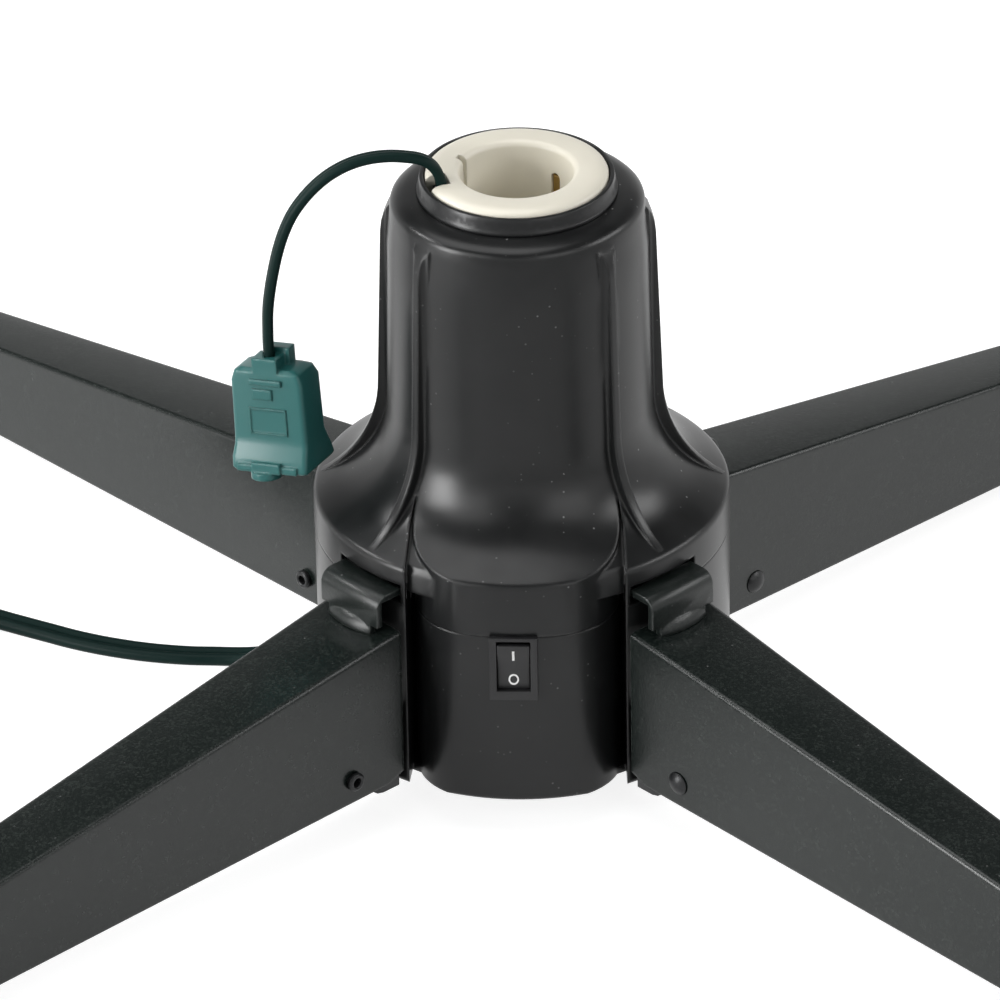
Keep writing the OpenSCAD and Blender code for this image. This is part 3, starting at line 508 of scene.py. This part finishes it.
CORD_VINYL = Finish("cord_vinyl", (0.0035, 0.016, 0.014), 0.45, specular=0.12, bump=0.1)
# Outlet: the lightened edges are partly rubbed wear and partly a painted highlight along the rounded
# edges.
OUTLET_VINYL = Finish("outlet_vinyl", (0.020, 0.118, 0.113), 0.30, specular=0.42, bump=0.10,
                      wear=0.35, worn=(0.10, 0.28, 0.25), edge=0.0011)
SWITCH_MARK = Finish("switch_mark", (0.95, 0.95, 0.94), 0.5, bump=0.05, edge=0.00005)
TIE_VINYL = Finish("tie_vinyl", (0.02, 0.02, 0.02), 0.45, bump=0.1)


# ---------- mesh helpers


def mesh_object(name: str, verts: Sequence[Sequence[float]], faces: Sequence[Sequence[int]],
                finish: Finish, scale: float = 1.0) -> bpy.types.Object:
    """Makes a smooth-shaded mesh object.

    Args:
        name: the piece's name.
        verts: its points.
        faces: its faces, as indices into the points.
        finish: the surface finish.
        scale: factor that turns the points into metres.

    Returns:
        The new object, in the scene.
    """
    mesh = bpy.data.meshes.new(name)
    mesh.from_pydata([scale * Vector(v) for v in verts], [], [list(f) for f in faces])
    mesh.polygons.foreach_set("use_smooth", [True] * len(mesh.polygons))
    mesh.materials.append(finish.make())
    piece = bpy.data.objects.new(name, mesh)
    link(piece)
    return piece


SHARP = math.radians(32.0)      # angle above which an edge counts as sharp
FLAT = math.radians(0.6)        # angle below which neighbouring faces count as one
WELD_REACH = 2e-6               # points of a node that lie this near are one point


def smooth_by_split(piece: bpy.types.Object, bevel: float) -> None:
    """Gives a carried-over node clean smooth shading, and rounded edges when asked.

    Args:
        piece: the node's object; its own vertices stay as they are.
        bevel: width in metres of the rounding on its sharp edges, or 0 for none.
    """
    mesh = piece.data
    if "custom_normal" in mesh.attributes:
        mesh.attributes.remove(mesh.attributes["custom_normal"])
    mesh.polygons.foreach_set("use_smooth", [True] * len(mesh.polygons))
    weld = piece.modifiers.new("weld", "WELD")
    weld.merge_threshold = WELD_REACH
    if bevel:
        clean = piece.modifiers.new("flat_faces", "DECIMATE")
        clean.decimate_type = "DISSOLVE"
        clean.angle_limit = FLAT
        rounding = piece.modifiers.new("rounding", "BEVEL")
        rounding.width = bevel
        rounding.segments = 2
        rounding.limit_method = "ANGLE"
        rounding.angle_limit = SHARP
    split = piece.modifiers.new("split", "EDGE_SPLIT")
    split.split_angle = SHARP


def catmull(points: Sequence[Vector], steps: int) -> list[Vector]:
    """Points of a smooth curve through the given ones.

    Args:
        points: the points that the curve goes through.
        steps: how many points each stretch gets.

    Returns:
        The curve's points, ends included.
    """
    out: list[Vector] = []
    for i in range(len(points) - 1):
        a, b = points[max(i - 1, 0)], points[i]
        c, d = points[i + 1], points[min(i + 2, len(points) - 1)]
        for k in range(steps):
            t = k / steps
            out.append(0.5 * (2 * b + (c - a) * t + (2 * a - 5 * b + 4 * c - d) * t * t
                              + (3 * b - a - 3 * c + d) * t ** 3))
    out.append(points[-1].copy())
    return out


def run_length(points: Sequence[Vector]) -> float:
    """Length of a polyline."""
    return sum((b - a).length for a, b in zip(points, points[1:]))


# ---------- cords


@dataclass
class TwinCord:
    """A flat twin cord: two round insulated wires joined by a web, swept along a path.

    Attributes:
        name: the piece's name.
        points: points of the centreline, in metres.
        across: direction of the cord's width at each point.
        width: the flat cord's width, in metres.
        thick: its thickness, in metres.
        lobe_steps: points round each of the two wires.
        web: thickness of the web between them, as a share of the cord's.
    """

    name: str
    points: list[Vector]
    across: list[Vector]
    width: float
    thick: float
    lobe_steps: int = 11
    web: float = 0.68

    def section(self) -> list[tuple[float, float]]:
        """Outline of the cross-section, counter-clockwise.

        Returns:
            Each point's offsets along the cord's width and thickness.
        """
        r = self.thick / 2
        off = self.width / 2 - r
        cut = math.asin(self.web)
        right = []
        for i in range(self.lobe_steps):
            a = -math.pi + cut + (2 * math.pi - 2 * cut) * i / (self.lobe_steps - 1)
            right.append((off + r * math.cos(a), r * math.sin(a)))
        return right + [(-x, -y) for x, y in right]

    def build(self) -> bpy.types.Object:
        """Sweeps the section and closes both ends.

        Returns:
            The cord's object.
        """
        outline = self.section()
        count = len(outline)
        verts: list[Vector] = []
        last = len(self.points) - 1
        for i, point in enumerate(self.points):
            heading = (self.points[min(i + 1, last)] - self.points[max(i - 1, 0)]).normalized()
            side = (self.across[i] - self.across[i].dot(heading) * heading).normalized()
            normal = heading.cross(side)
            verts += [point + x * side + y * normal for x, y in outline]
        faces = [(i * count + j, i * count + (j + 1) % count,
                  (i + 1) * count + (j + 1) % count, (i + 1) * count + j)
                 for i in range(last) for j in range(count)]
        faces.append(tuple(range(count - 1, -1, -1)))
        faces.append(tuple(range(last * count, (last + 1) * count)))
        return mesh_object(self.name, verts, faces, CORD_VINYL)


@dataclass
class MainsLead:
    """The mains cord: out of its boot, along the floor and into the put-away coil.

    The sizes and the route are those of the model's own cord, in millimetres and degrees.

    Attributes:
        width: the flat cord's width.
        thick: its thickness.
        rest: height of its centre where it lies on the floor.
        boot_az: direction of the boot, round the pole axis.
        boot_tilt: how far the boot points down.
        boot_start: distance from the axis to the boot's root.
        boot_z: height of that root.
        boot_len: the boot's length.
        turns: turns in each of the coil's two layers.
        inner: radius of the coil's innermost turn.
        start_angle: direction, seen from the coil's centre, at which the coil starts.
        coil_rest: how far the tie lifts the coil.
        layer_gap: room between the two layers.
        turn_gap: room between turns side by side.
        steps: points of the curve in each turn.
        smooth: points of the curve in each stretch of the route.
        tie_angle: direction of the tie, on from the coil's start.
        tie_half: half the tie's width.
        tie_wire: the tie's thickness.
        tie_low: height of its lowest part.
        tie_room: room between the tie and the coil, inside and on top.
        tie_outer: how far the tie's outer side stays inside the start of the coil.
        tie_steps: points along each side of the tie.
        route: points of the stretch between boot and coil.
    """

    width: float = 7.8
    thick: float = 3.9
    rest: float = 2.05
    boot_az: float = 158.0
    boot_tilt: float = 30.0
    boot_start: float = 61.0
    boot_z: float = 20.0
    boot_len: float = 24.0
    turns: int = 3
    inner: float = 28.0
    start_angle: float = 62.0
    coil_rest: float = 0.4
    layer_gap: float = 0.6
    turn_gap: float = 0.5
    steps: int = 48
    smooth: int = 4
    tie_angle: float = 215.0
    tie_half: float = 2.0
    tie_wire: float = 0.3
    tie_low: float = 0.12
    tie_room: tuple[float, float] = (0.9, 0.45)
    tie_outer: float = 2.6
    tie_steps: int = 8
    route: tuple[Point, ...] = (
        (-80.2, 32.5, 5.5), (-85, 34.2, 3.4), (-90.5, 35.4, 2.4),
        (-97, 36.1, 2.05), (-104.5, 36.3, 2.05), (-112, 37.1, 2.05), (-119.5, 38.4, 2.05),
        (-127, 40.3, 2.05), (-134.5, 42.7, 2.05), (-142, 45.7, 2.05), (-149.5, 49.3, 2.05),
        (-157, 52.9, 2.05), (-164.5, 56.6, 2.05), (-172, 60.6, 2.05), (-179.5, 64.6, 2.05),
        (-187, 68.6, 2.25), (-194.5, 72.6, 2.45))

    def exit(self) -> Vector:
        """Finds where the cord leaves its boot.

        Returns:
            That point, in millimetres.
        """
        reach = self.boot_start + self.boot_len * math.cos(math.radians(self.boot_tilt))
        turn = math.radians(self.boot_az)
        return Vector((reach * math.cos(turn), reach * math.sin(turn),
                       self.boot_z - self.boot_len * math.sin(math.radians(self.boot_tilt))))

    def pitch(self) -> float:
        """Distance between turns that lie side by side."""
        return self.width + self.turn_gap

    def outer(self) -> float:
        """Radius at which the coil starts and ends."""
        return self.inner + self.pitch() * self.turns

    def centre(self) -> Vector:
        """Finds the centre of the coil, which carries on from the end of the route.

        Returns:
            That point, in millimetres.
        """
        turn = math.radians(self.start_angle)
        outwards = Vector((math.cos(turn), math.sin(turn), 0))
        heading = Vector((-math.sin(turn), math.cos(turn), 0))
        return Vector(self.route[-1]) + self.width * heading - self.outer() * outwards

    def coil_point(self, t: float) -> Vector:
        """A point of the coil: in along the lower layer, up, and out along the upper one.

        Args:
            t: turns from the coil's start.

        Returns:
            The point, in millimetres.
        """
        lift = self.thick + self.layer_gap
        if t < self.turns:
            radius, height = self.outer() - self.pitch() * t, 0.0
        elif t <= self.turns + 0.5:
            rise = (1 - math.cos(2 * math.pi * (t - self.turns))) / 2
            radius, height = self.inner, lift * rise
        else:
            radius, height = self.inner + self.pitch() * (t - self.turns - 0.5), lift
        turn = math.radians(self.start_angle) + 2 * math.pi * t
        at = self.centre()
        return Vector((at.x + radius * math.cos(turn), at.y + radius * math.sin(turn),
                       self.rest + self.coil_rest + height))

    def centreline(self) -> list[Vector]:
        """Joins boot, route and coil.

        Returns:
            The whole cord's centreline, in metres.
        """
        total = round(self.steps * (2 * self.turns + 0.5))
        coil = [self.coil_point(i / self.steps) for i in range(total + 1)]
        end = coil[-1] + self.width * (coil[-1] - coil[-2]).normalized()
        through = [self.exit()] + [Vector(p) for p in self.route] + coil[:2]
        free = catmull(through, self.smooth)[:-self.smooth]
        return [MM * p for p in free + coil + [end]]

    def tie(self) -> bpy.types.Object:
        """Bends a flat strip round both layers of the coil.

        Returns:
            The tie's object.
        """
        turn = math.radians(self.start_angle + self.tie_angle)
        outwards = Vector((math.cos(turn), math.sin(turn), 0))
        along = self.tie_half * Vector((-math.sin(turn), math.cos(turn), 0))
        foot = self.centre() * Vector((1, 1, 0))
        inside, above = self.tie_room
        low = self.tie_low
        high = self.rest + self.coil_rest + 1.5 * self.thick + self.layer_gap + above
        near = self.inner - self.width / 2 - inside
        far = self.outer() + self.width / 2 - self.tie_outer
        corners = [(near, low), (far, low), (far, high), (near, high)]
        loop: list[Vector] = []
        for (r, z), (r2, z2) in zip(corners, corners[1:] + corners[:1]):
            for k in range(self.tie_steps):
                share = k / self.tie_steps
                loop.append(foot + outwards * (r + (r2 - r) * share)
                            + Vector((0, 0, z + (z2 - z) * share)))
        middle = foot + outwards * (near + far) / 2 + Vector((0, 0, (low + high) / 2))
        verts: list[Vector] = []
        for p in loop:
            inwards = (middle - p).normalized() * self.tie_wire
            verts += [p - along, p + along, p + along + inwards, p - along + inwards]
        count = len(loop)
        faces = [(4 * i + k, 4 * i + (k + 1) % 4, 4 * j + (k + 1) % 4, 4 * j + k)
                 for i, j in ((i, (i + 1) % count) for i in range(count)) for k in range(4)]
        return mesh_object("coil_tie", verts, faces, TIE_VINYL, MM)

    def build(self) -> bpy.types.Object:
        """Returns:
            The cord's object.
        """
        line = self.centreline()
        last = len(line) - 1
        across = []
        for i in range(len(line)):
            heading = line[min(i + 1, last)] - line[max(i - 1, 0)]
            across.append(Vector((0, 0, 1)).cross(heading).normalized())
        cord = TwinCord("mains_lead", line, across, MM * self.width, MM * self.thick).build()
        tie = self.tie()
        for piece in (cord, tie):
            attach(piece, "hub")
        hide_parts("mains_cord", "mains_coil")
        LOG.info("mains_lead: %.3f m long; coil_tie round its coil", run_length(line))
        return cord


@dataclass
class LampLead:
    """The lamp cord that stands out of the socket's flange and carries the outlet.

    Attributes:
        width: the flat cord's width, in millimetres.
        thick: its thickness, in millimetres.
        smooth: points of the curve in each stretch of the route.
        at_notch: direction of its width where it leaves the flange.
        at_outlet: direction of its width on the rest of its way.
        twist_end: share of the run over which it twists from one to the other.
        route: points that it goes through, in millimetres.
    """

    width: float = 6.4
    thick: float = 3.2
    smooth: int = 4
    at_notch: Point = (0.3, -0.95, 0.0)
    at_outlet: Point = (0.12, -0.95, 0.3)
    twist_end: float = 0.15
    route: tuple[Point, ...] = (
        (-21.7, -6.9, 183), (-21.7, -6.9, 187), (-21.9, -7, 191), (-22.9, -7.2, 194.8),
        (-24.9, -7.5, 197.9), (-28, -7.9, 199.9), (-32.7, -8.4, 200.9), (-37.3, -8.9, 201.3),
        (-42, -9.4, 201), (-46.7, -10, 200), (-51.4, -10.5, 198), (-56.2, -11, 194.8),
        (-60.9, -11.5, 190.2), (-65.2, -12, 184.3), (-68.1, -12.4, 178.2), (-70.2, -12.6, 171.6),
        (-71.7, -12.8, 165), (-72.9, -12.9, 158.3), (-73.7, -13, 151.6), (-73.9, -13, 145),
        (-73.9, -13, 139.5), (-73.7, -13.2, 134.9))

    def across(self, share: float) -> Vector:
        """Direction of the cord's width, which twists a little after the notch.

        Args:
            share: how far along the cord, from 0 to 1.

        Returns:
            The direction.
        """
        twist = min(1.0, share / self.twist_end)
        return Vector(self.at_notch).lerp(Vector(self.at_outlet), twist).normalized()

    def build(self) -> bpy.types.Object:
        """Returns:
            The cord's object.
        """
        line = [MM * p for p in catmull([Vector(p) for p in self.route], self.smooth)]
        across = [self.across(i / (len(line) - 1)) for i in range(len(line))]
        cord = TwinCord("lamp_lead", line, across, MM * self.width, MM * self.thick).build()
        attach(cord, "rotor")
        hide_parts("top_cord")
        LOG.info("lamp_lead: %.3f m long", run_length(line))
        return cord


# ---------- carried-over nodes


class Rounding(Enum):
    """How much the edges of a carried-over node are rounded, in metres."""

    NONE = 0.0
    FINE = 0.00012
    SOFT = 0.0003
    SHEET = 0.0005


@dataclass(frozen=True)
class Dress:
    """Finish and edge rounding of some of the model's nodes.

    Attributes:
        finish: their finish.
        rounding: how much their edges are rounded.
        nodes: their names.
    """

    finish: Finish
    rounding: Rounding
    nodes: tuple[str, ...]

    def apply(self) -> None:
        """Sets the material and shading of each node."""
        for name in self.nodes:
            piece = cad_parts[name]
            piece.data.materials.clear()
            piece.data.materials.append(self.finish.make())
            smooth_by_split(piece, self.rounding.value)
            LOG.info("%s: %s", name, self.finish.name)


def at_corners(*stems: str) -> tuple[str, ...]:
    """Names of the nodes that repeat at the four corners."""
    return tuple(f"{stem}_{corner}" for stem in stems for corner in CORNERS)


@dataclass
class Wardrobe:
    """Which finish every carried-over node wears."""

    dresses: tuple[Dress, ...] = (
        Dress(HUB_PLASTIC, Rounding.NONE, ("upper_housing", "base_housing")),
        Dress(BLACK_PLASTIC, Rounding.FINE, ("top_bush", "bottom_cover", "cord_clamp")),
        Dress(LEG_PAINT, Rounding.NONE, at_corners("leg")),
        Dress(HOOK_PAINT, Rounding.SOFT, at_corners("hook")),
        Dress(BLACK_STEEL, Rounding.FINE, at_corners("bracket", "rivet")),
        Dress(FOOT_RUBBER, Rounding.SHEET, at_corners("foot")),
        Dress(ZINC_STEEL, Rounding.NONE,
              ("housing_screws", "bracket_screws", "motor_screws", "motor_deck", "lower_race",
               "upper_race", "bearing_balls", "motor_can", "motor_shaft")),
        Dress(GEAR_NYLON, Rounding.NONE, ("bearing_cage", "drive_gear", "pinion")),
        Dress(IVORY_PLASTIC, Rounding.NONE, ("pole_socket",)),
        Dress(CONTACT_BRASS, Rounding.NONE,
              ("pole_spring", "slip_ring_lower", "slip_ring_upper", "brush_springs",
               "switch_terminals", "plug_blades", "outlet_contacts")),
        Dress(BROWN_RESIN, Rounding.NONE, ("brush_holder",)),
        Dress(SWITCH_PLASTIC, Rounding.FINE, ("switch_frame", "switch_rocker")),
        Dress(CORD_VINYL, Rounding.NONE, ("cord_boot", "riser_cord")),
        Dress(CORD_VINYL, Rounding.SOFT, ("mains_plug",)),
        Dress(OUTLET_VINYL, Rounding.NONE, ("outlet_body", "outlet_cover")),
    )

    def build(self) -> None:
        """Dresses every node."""
        for dress in self.dresses:
            dress.apply()


# ---------- switch marks


@dataclass
class SwitchMarks:
    """The printed I and O on the rocker's face, in the rocker's own tilted frame.

    Attributes:
        centre: the rocker's axis, in millimetres.
        tilt: the rocker's tilt at rest, in degrees.
        proud: how far the print stands on the face.
        sunk: how far it reaches into the face.
        bar_z: lower and upper end of the I.
        bar_half: half the I's width.
        ring_z: height of the O's centre.
        ring_r: half the O's height.
        ring_stroke: thickness of the O's line.
        ring_squash: the O's width as a share of its height.
        ring_steps: points round the O.
        face: height and depth of the bends of the rocker's face, from the bottom up.
    """

    centre: Point = (-0.4, -60.4, 59.8)
    tilt: float = 7.0
    proud: float = 0.04
    sunk: float = 0.03
    bar_z: tuple[float, float] = (2.3, 6.0)
    bar_half: float = 0.36
    ring_z: float = -4.6
    ring_r: float = 1.9
    ring_stroke: float = 0.62
    ring_squash: float = 0.82
    ring_steps: int = 40
    face: tuple[tuple[float, float], ...] = (
        (-7.9, -3.4), (-4.0, -3.0), (0.0, -2.75), (4.0, -3.0), (7.9, -3.4))

    def face_y(self, z: float) -> float:
        """Finds the depth of the rocker's face.

        Args:
            z: height on the face.

        Returns:
            The depth there.
        """
        for (z0, y0), (z1, y1) in zip(self.face, self.face[1:]):
            if z <= z1:
                return y0 + (y1 - y0) * (z - z0) / (z1 - z0)
        return self.face[-1][1]

    def plate(self, name: str, outline: Sequence[tuple[float, float]],
              hole: Sequence[tuple[float, float]] | None) -> bpy.types.Object:
        """Makes a thin printed plate that follows the rocker's face.

        Args:
            name: the piece's name.
            outline: its outer points, across and up the face.
            hole: as many inner points, or None.

        Returns:
            The plate's object.
        """
        mesh = bmesh.new()
        outer, inner = ([mesh.verts.new((x, self.face_y(z) - self.proud, z)) for x, z in ring]
                        for ring in (outline, hole or ()))
        if not inner:
            mesh.faces.new(outer)
        for i in range(len(inner)):
            j = (i + 1) % len(inner)
            mesh.faces.new((outer[i], outer[j], inner[j], inner[i]))
        faces = bmesh.ops.extrude_face_region(mesh, geom=mesh.faces[:])
        moved = [v for v in faces["geom"] if isinstance(v, bmesh.types.BMVert)]
        bmesh.ops.translate(mesh, verts=moved, vec=(0, self.proud + self.sunk, 0))
        bmesh.ops.recalc_face_normals(mesh, faces=mesh.faces[:])
        data = bpy.data.meshes.new(name)
        turn = Matrix.Rotation(math.radians(self.tilt), 4, "X")
        mesh.transform(Matrix.Scale(MM, 4) @ Matrix.Translation(Vector(self.centre)) @ turn)
        mesh.to_mesh(data)
        mesh.free()
        data.materials.append(SWITCH_MARK.make())
        piece = bpy.data.objects.new(name, data)
        link(piece)
        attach(piece, "rocker")
        LOG.info("%s: %s", name, SWITCH_MARK.name)
        return piece

    def build(self) -> None:
        """Makes both marks."""
        low, high = self.bar_z
        middle = (low + high) / 2
        half = self.bar_half
        self.plate("mark_on", [(-half, low), (half, low), (half, middle), (half, high),
                               (-half, high), (-half, middle)], None)
        angles = [2 * math.pi * i / self.ring_steps for i in range(self.ring_steps)]
        outer, inner = ([(radius * self.ring_squash * math.cos(a), self.ring_z + radius * math.sin(a))
                         for a in angles]
                        for radius in (self.ring_r, self.ring_r - self.ring_stroke))
        self.plate("mark_off", outer, inner)


# ---------- studio


@dataclass(frozen=True)
class SoftBox:
    """A rectangular lamp.

    Attributes:
        name: the lamp's name.
        place: where it hangs, in metres.
        aim: the point that it faces.
        size: its width and height, in metres.
        power: its power, in watts.
    """

    name: str
    place: Point
    aim: Point
    size: tuple[float, float]
    power: float

    def hang(self) -> None:
        """Puts the lamp into the scene."""
        data = bpy.data.lights.new(self.name, "AREA")
        data.shape = "RECTANGLE"
        data.size, data.size_y = self.size
        data.energy = self.power
        lamp = bpy.data.objects.new(self.name, data)
        lamp.location = self.place
        heading = Vector(self.aim) - Vector(self.place)
        lamp.rotation_euler = heading.to_track_quat("-Z", "Y").to_euler()
        link(lamp)


@dataclass
class Studio:
    """Camera at the photograph's angle, a white floor and soft light.

    Attributes:
        elevation: the camera's height over the horizon, in degrees.
        azimuth: how far it stands to the right of the front.
        roll: its turn about its own axis.
        focal_px: its focal length, in pixels of the frame.
        distance: how far it stands from its target.
        target_z: height of that target, on the pole axis.
        frame_px: the frame's width in pixels.
        sensor: the sensor's width, in millimetres.
        shift_x: sideways shift of the frame, as a share of its width.
        farthest: distance up to which the camera sees.
        ambient: grey of the light from all round.
        paper: grey of the floor.
        floor_half: half the floor's side.
        floor_glow: white that the floor shows the camera by itself.
        floor_mirrored: white that reflections meet at the two depths of mirror_y.
        mirror_y: those depths: in front of the object, and at its middle.
        backdrop: white that reflections meet at each height of their heading.
        soft_boxes: the lamps.
    """

    elevation: float = 30.28
    azimuth: float = 2.62
    roll: float = -0.91
    focal_px: float = 9633.0
    distance: float = 2.892
    target_z: float = 0.0796
    frame_px: float = 1000.0
    sensor: float = 36.0
    shift_x: float = -0.022
    farthest: float = 100.0
    ambient: float = 0.15
    paper: float = 0.5
    floor_half: float = 6.0
    floor_glow: float = 0.85
    floor_mirrored: tuple[float, float] = (0.25, 0.75)
    mirror_y: tuple[float, float] = (-0.35, 0.0)
    backdrop: tuple[tuple[float, float], ...] = (
        (0.05, 1.0), (0.24, 0.80), (0.36, 0.50), (0.50, 0.22), (0.64, 0.06), (1.0, 0.08))
    soft_boxes: tuple[SoftBox, ...] = (
        SoftBox("key_left", (-1.02, -0.58, 0.36), (-0.02, 0.0, 0.10), (0.40, 0.62), 10.5),
        SoftBox("fill_right", (1.05, 0.02, 0.76), (0.0, 0.0, 0.10), (0.80, 0.36), 5.4),
        SoftBox("overhead", (-0.33, 0.12, 1.60), (0.0, 0.0, 0.10), (1.05, 1.4), 10.4),
        SoftBox("strip_left", (-0.95, 0.12, 0.84), (0.0, 0.0, 0.10), (0.34, 0.12), 3.6),
        SoftBox("kick_left", (-0.70, -0.87, 0.66), (0.0, -0.05, 0.08), (0.70, 0.60), 2.3),
        SoftBox("kick_right", (0.70, -0.87, 0.66), (0.0, -0.05, 0.08), (0.70, 0.60), 2.3))

    def camera(self) -> None:
        """Sets up the camera from its angles, its distance and its focal length."""
        e, psi, roll = (math.radians(v) for v in (self.elevation, self.azimuth, self.roll))
        view = Vector((-math.sin(psi) * math.cos(e), math.cos(psi) * math.cos(e), -math.sin(e)))
        level = Vector((math.cos(psi), math.sin(psi), 0))
        above = level.cross(view)
        right = math.cos(roll) * level + math.sin(roll) * above
        top = -math.sin(roll) * level + math.cos(roll) * above
        place = Vector((0, 0, self.target_z)) - self.distance * view
        data = bpy.data.cameras.new("camera")
        data.sensor_width = self.sensor
        data.lens = self.focal_px * self.sensor / self.frame_px
        data.shift_x = self.shift_x
        data.clip_end = self.farthest
        camera = bpy.data.objects.new("camera", data)
        facing = Matrix((right, top, -view)).transposed().to_4x4()
        camera.matrix_world = Matrix.Translation(place) @ facing
        link(camera)
        bpy.context.scene.camera = camera

    def reflected(self, graph: Graph) -> bpy.types.NodeSocket:
        """Grades what a glossy ray meets: a bright horizon under a darker ceiling.

        Args:
            graph: the world's graph.

        Returns:
            The share of white.
        """
        heading = graph.add("TexCoord").outputs["Generated"]
        height = graph.add("SeparateXYZ", Vector=heading).outputs["Z"]
        ramp = graph.add("ValToRGB", Fac=height)
        stops = ramp.color_ramp.elements
        first, *between, last = self.backdrop
        stops[0].position, stops[0].color = first[0], (*grey(first[1]), 1.0)
        stops[1].position, stops[1].color = last[0], (*grey(last[1]), 1.0)
        for place, white in between:
            stops.new(place).color = (*grey(white), 1.0)
        return ramp.outputs["Color"]

    def world(self) -> None:
        """White to the camera, a graded backdrop to reflections, soft grey to everything else."""
        world = bpy.data.worlds.new("studio")
        bpy.context.scene.world = world
        world.use_nodes = True
        world.node_tree.nodes.clear()
        graph = Graph(world.node_tree)
        path = graph.add("LightPath")
        mirrored = graph.math("MAXIMUM", path.outputs["Is Glossy Ray"],
                              path.outputs["Is Transmission Ray"])
        shade = graph.mix(mirrored.outputs[0], grey(self.ambient), self.reflected(graph))
        seen = graph.mix(path.outputs["Is Camera Ray"], shade, grey(1.0))
        graph.feed(graph.add("OutputWorld"), "Surface", graph.add("Background", Color=seen))

    def floor(self) -> None:
        """Lays a pale floor that is white to the camera and in reflections, and keeps the shadow."""
        half = self.floor_half
        mesh = bpy.data.meshes.new("floor")
        mesh.from_pydata([(-half, -half, 0), (half, -half, 0), (half, half, 0), (-half, half, 0)],
                         [], [(0, 1, 2, 3)])
        floor = bpy.data.objects.new("floor", mesh)
        link(floor)
        material, graph = new_material("floor_paper")
        path = graph.add("LightPath")
        depth = graph.add("SeparateXYZ", Vector=graph.add("NewGeometry").outputs["Position"])
        mirrored = graph.span(depth.outputs["Y"], *self.mirror_y, *self.floor_mirrored)
        glow = graph.math("MAXIMUM",
                          graph.math("MULTIPLY", path.outputs["Is Camera Ray"], self.floor_glow),
                          graph.math("MULTIPLY", path.outputs["Is Glossy Ray"], mirrored))
        lit = graph.add("AddShader")
        graph.feed(lit, "0", graph.add("BsdfDiffuse", Color=grey(self.paper)))
        graph.feed(lit, "1", graph.add("Emission", Color=grey(1.0), Strength=glow))
        graph.feed(graph.add("OutputMaterial"), "Surface", lit)
        mesh.materials.append(material)

    def build(self) -> None:
        """Sets up the whole studio."""
        self.camera()
        self.floor()
        for lamp in self.soft_boxes:
            lamp.hang()
        self.world()
        bpy.context.scene.view_settings.view_transform = "Standard"
        LOG.info("studio: camera, floor, backdrop and %d soft boxes", len(self.soft_boxes))


def main() -> None:
    """Builds the studio, the cords and every finish."""
    logging.basicConfig(level=logging.INFO, format="%(name)s: %(message)s")
    Studio().build()
    MainsLead().build()
    LampLead().build()
    Wardrobe().build()
    SwitchMarks().build()


if __name__ == "__main__":
    main()
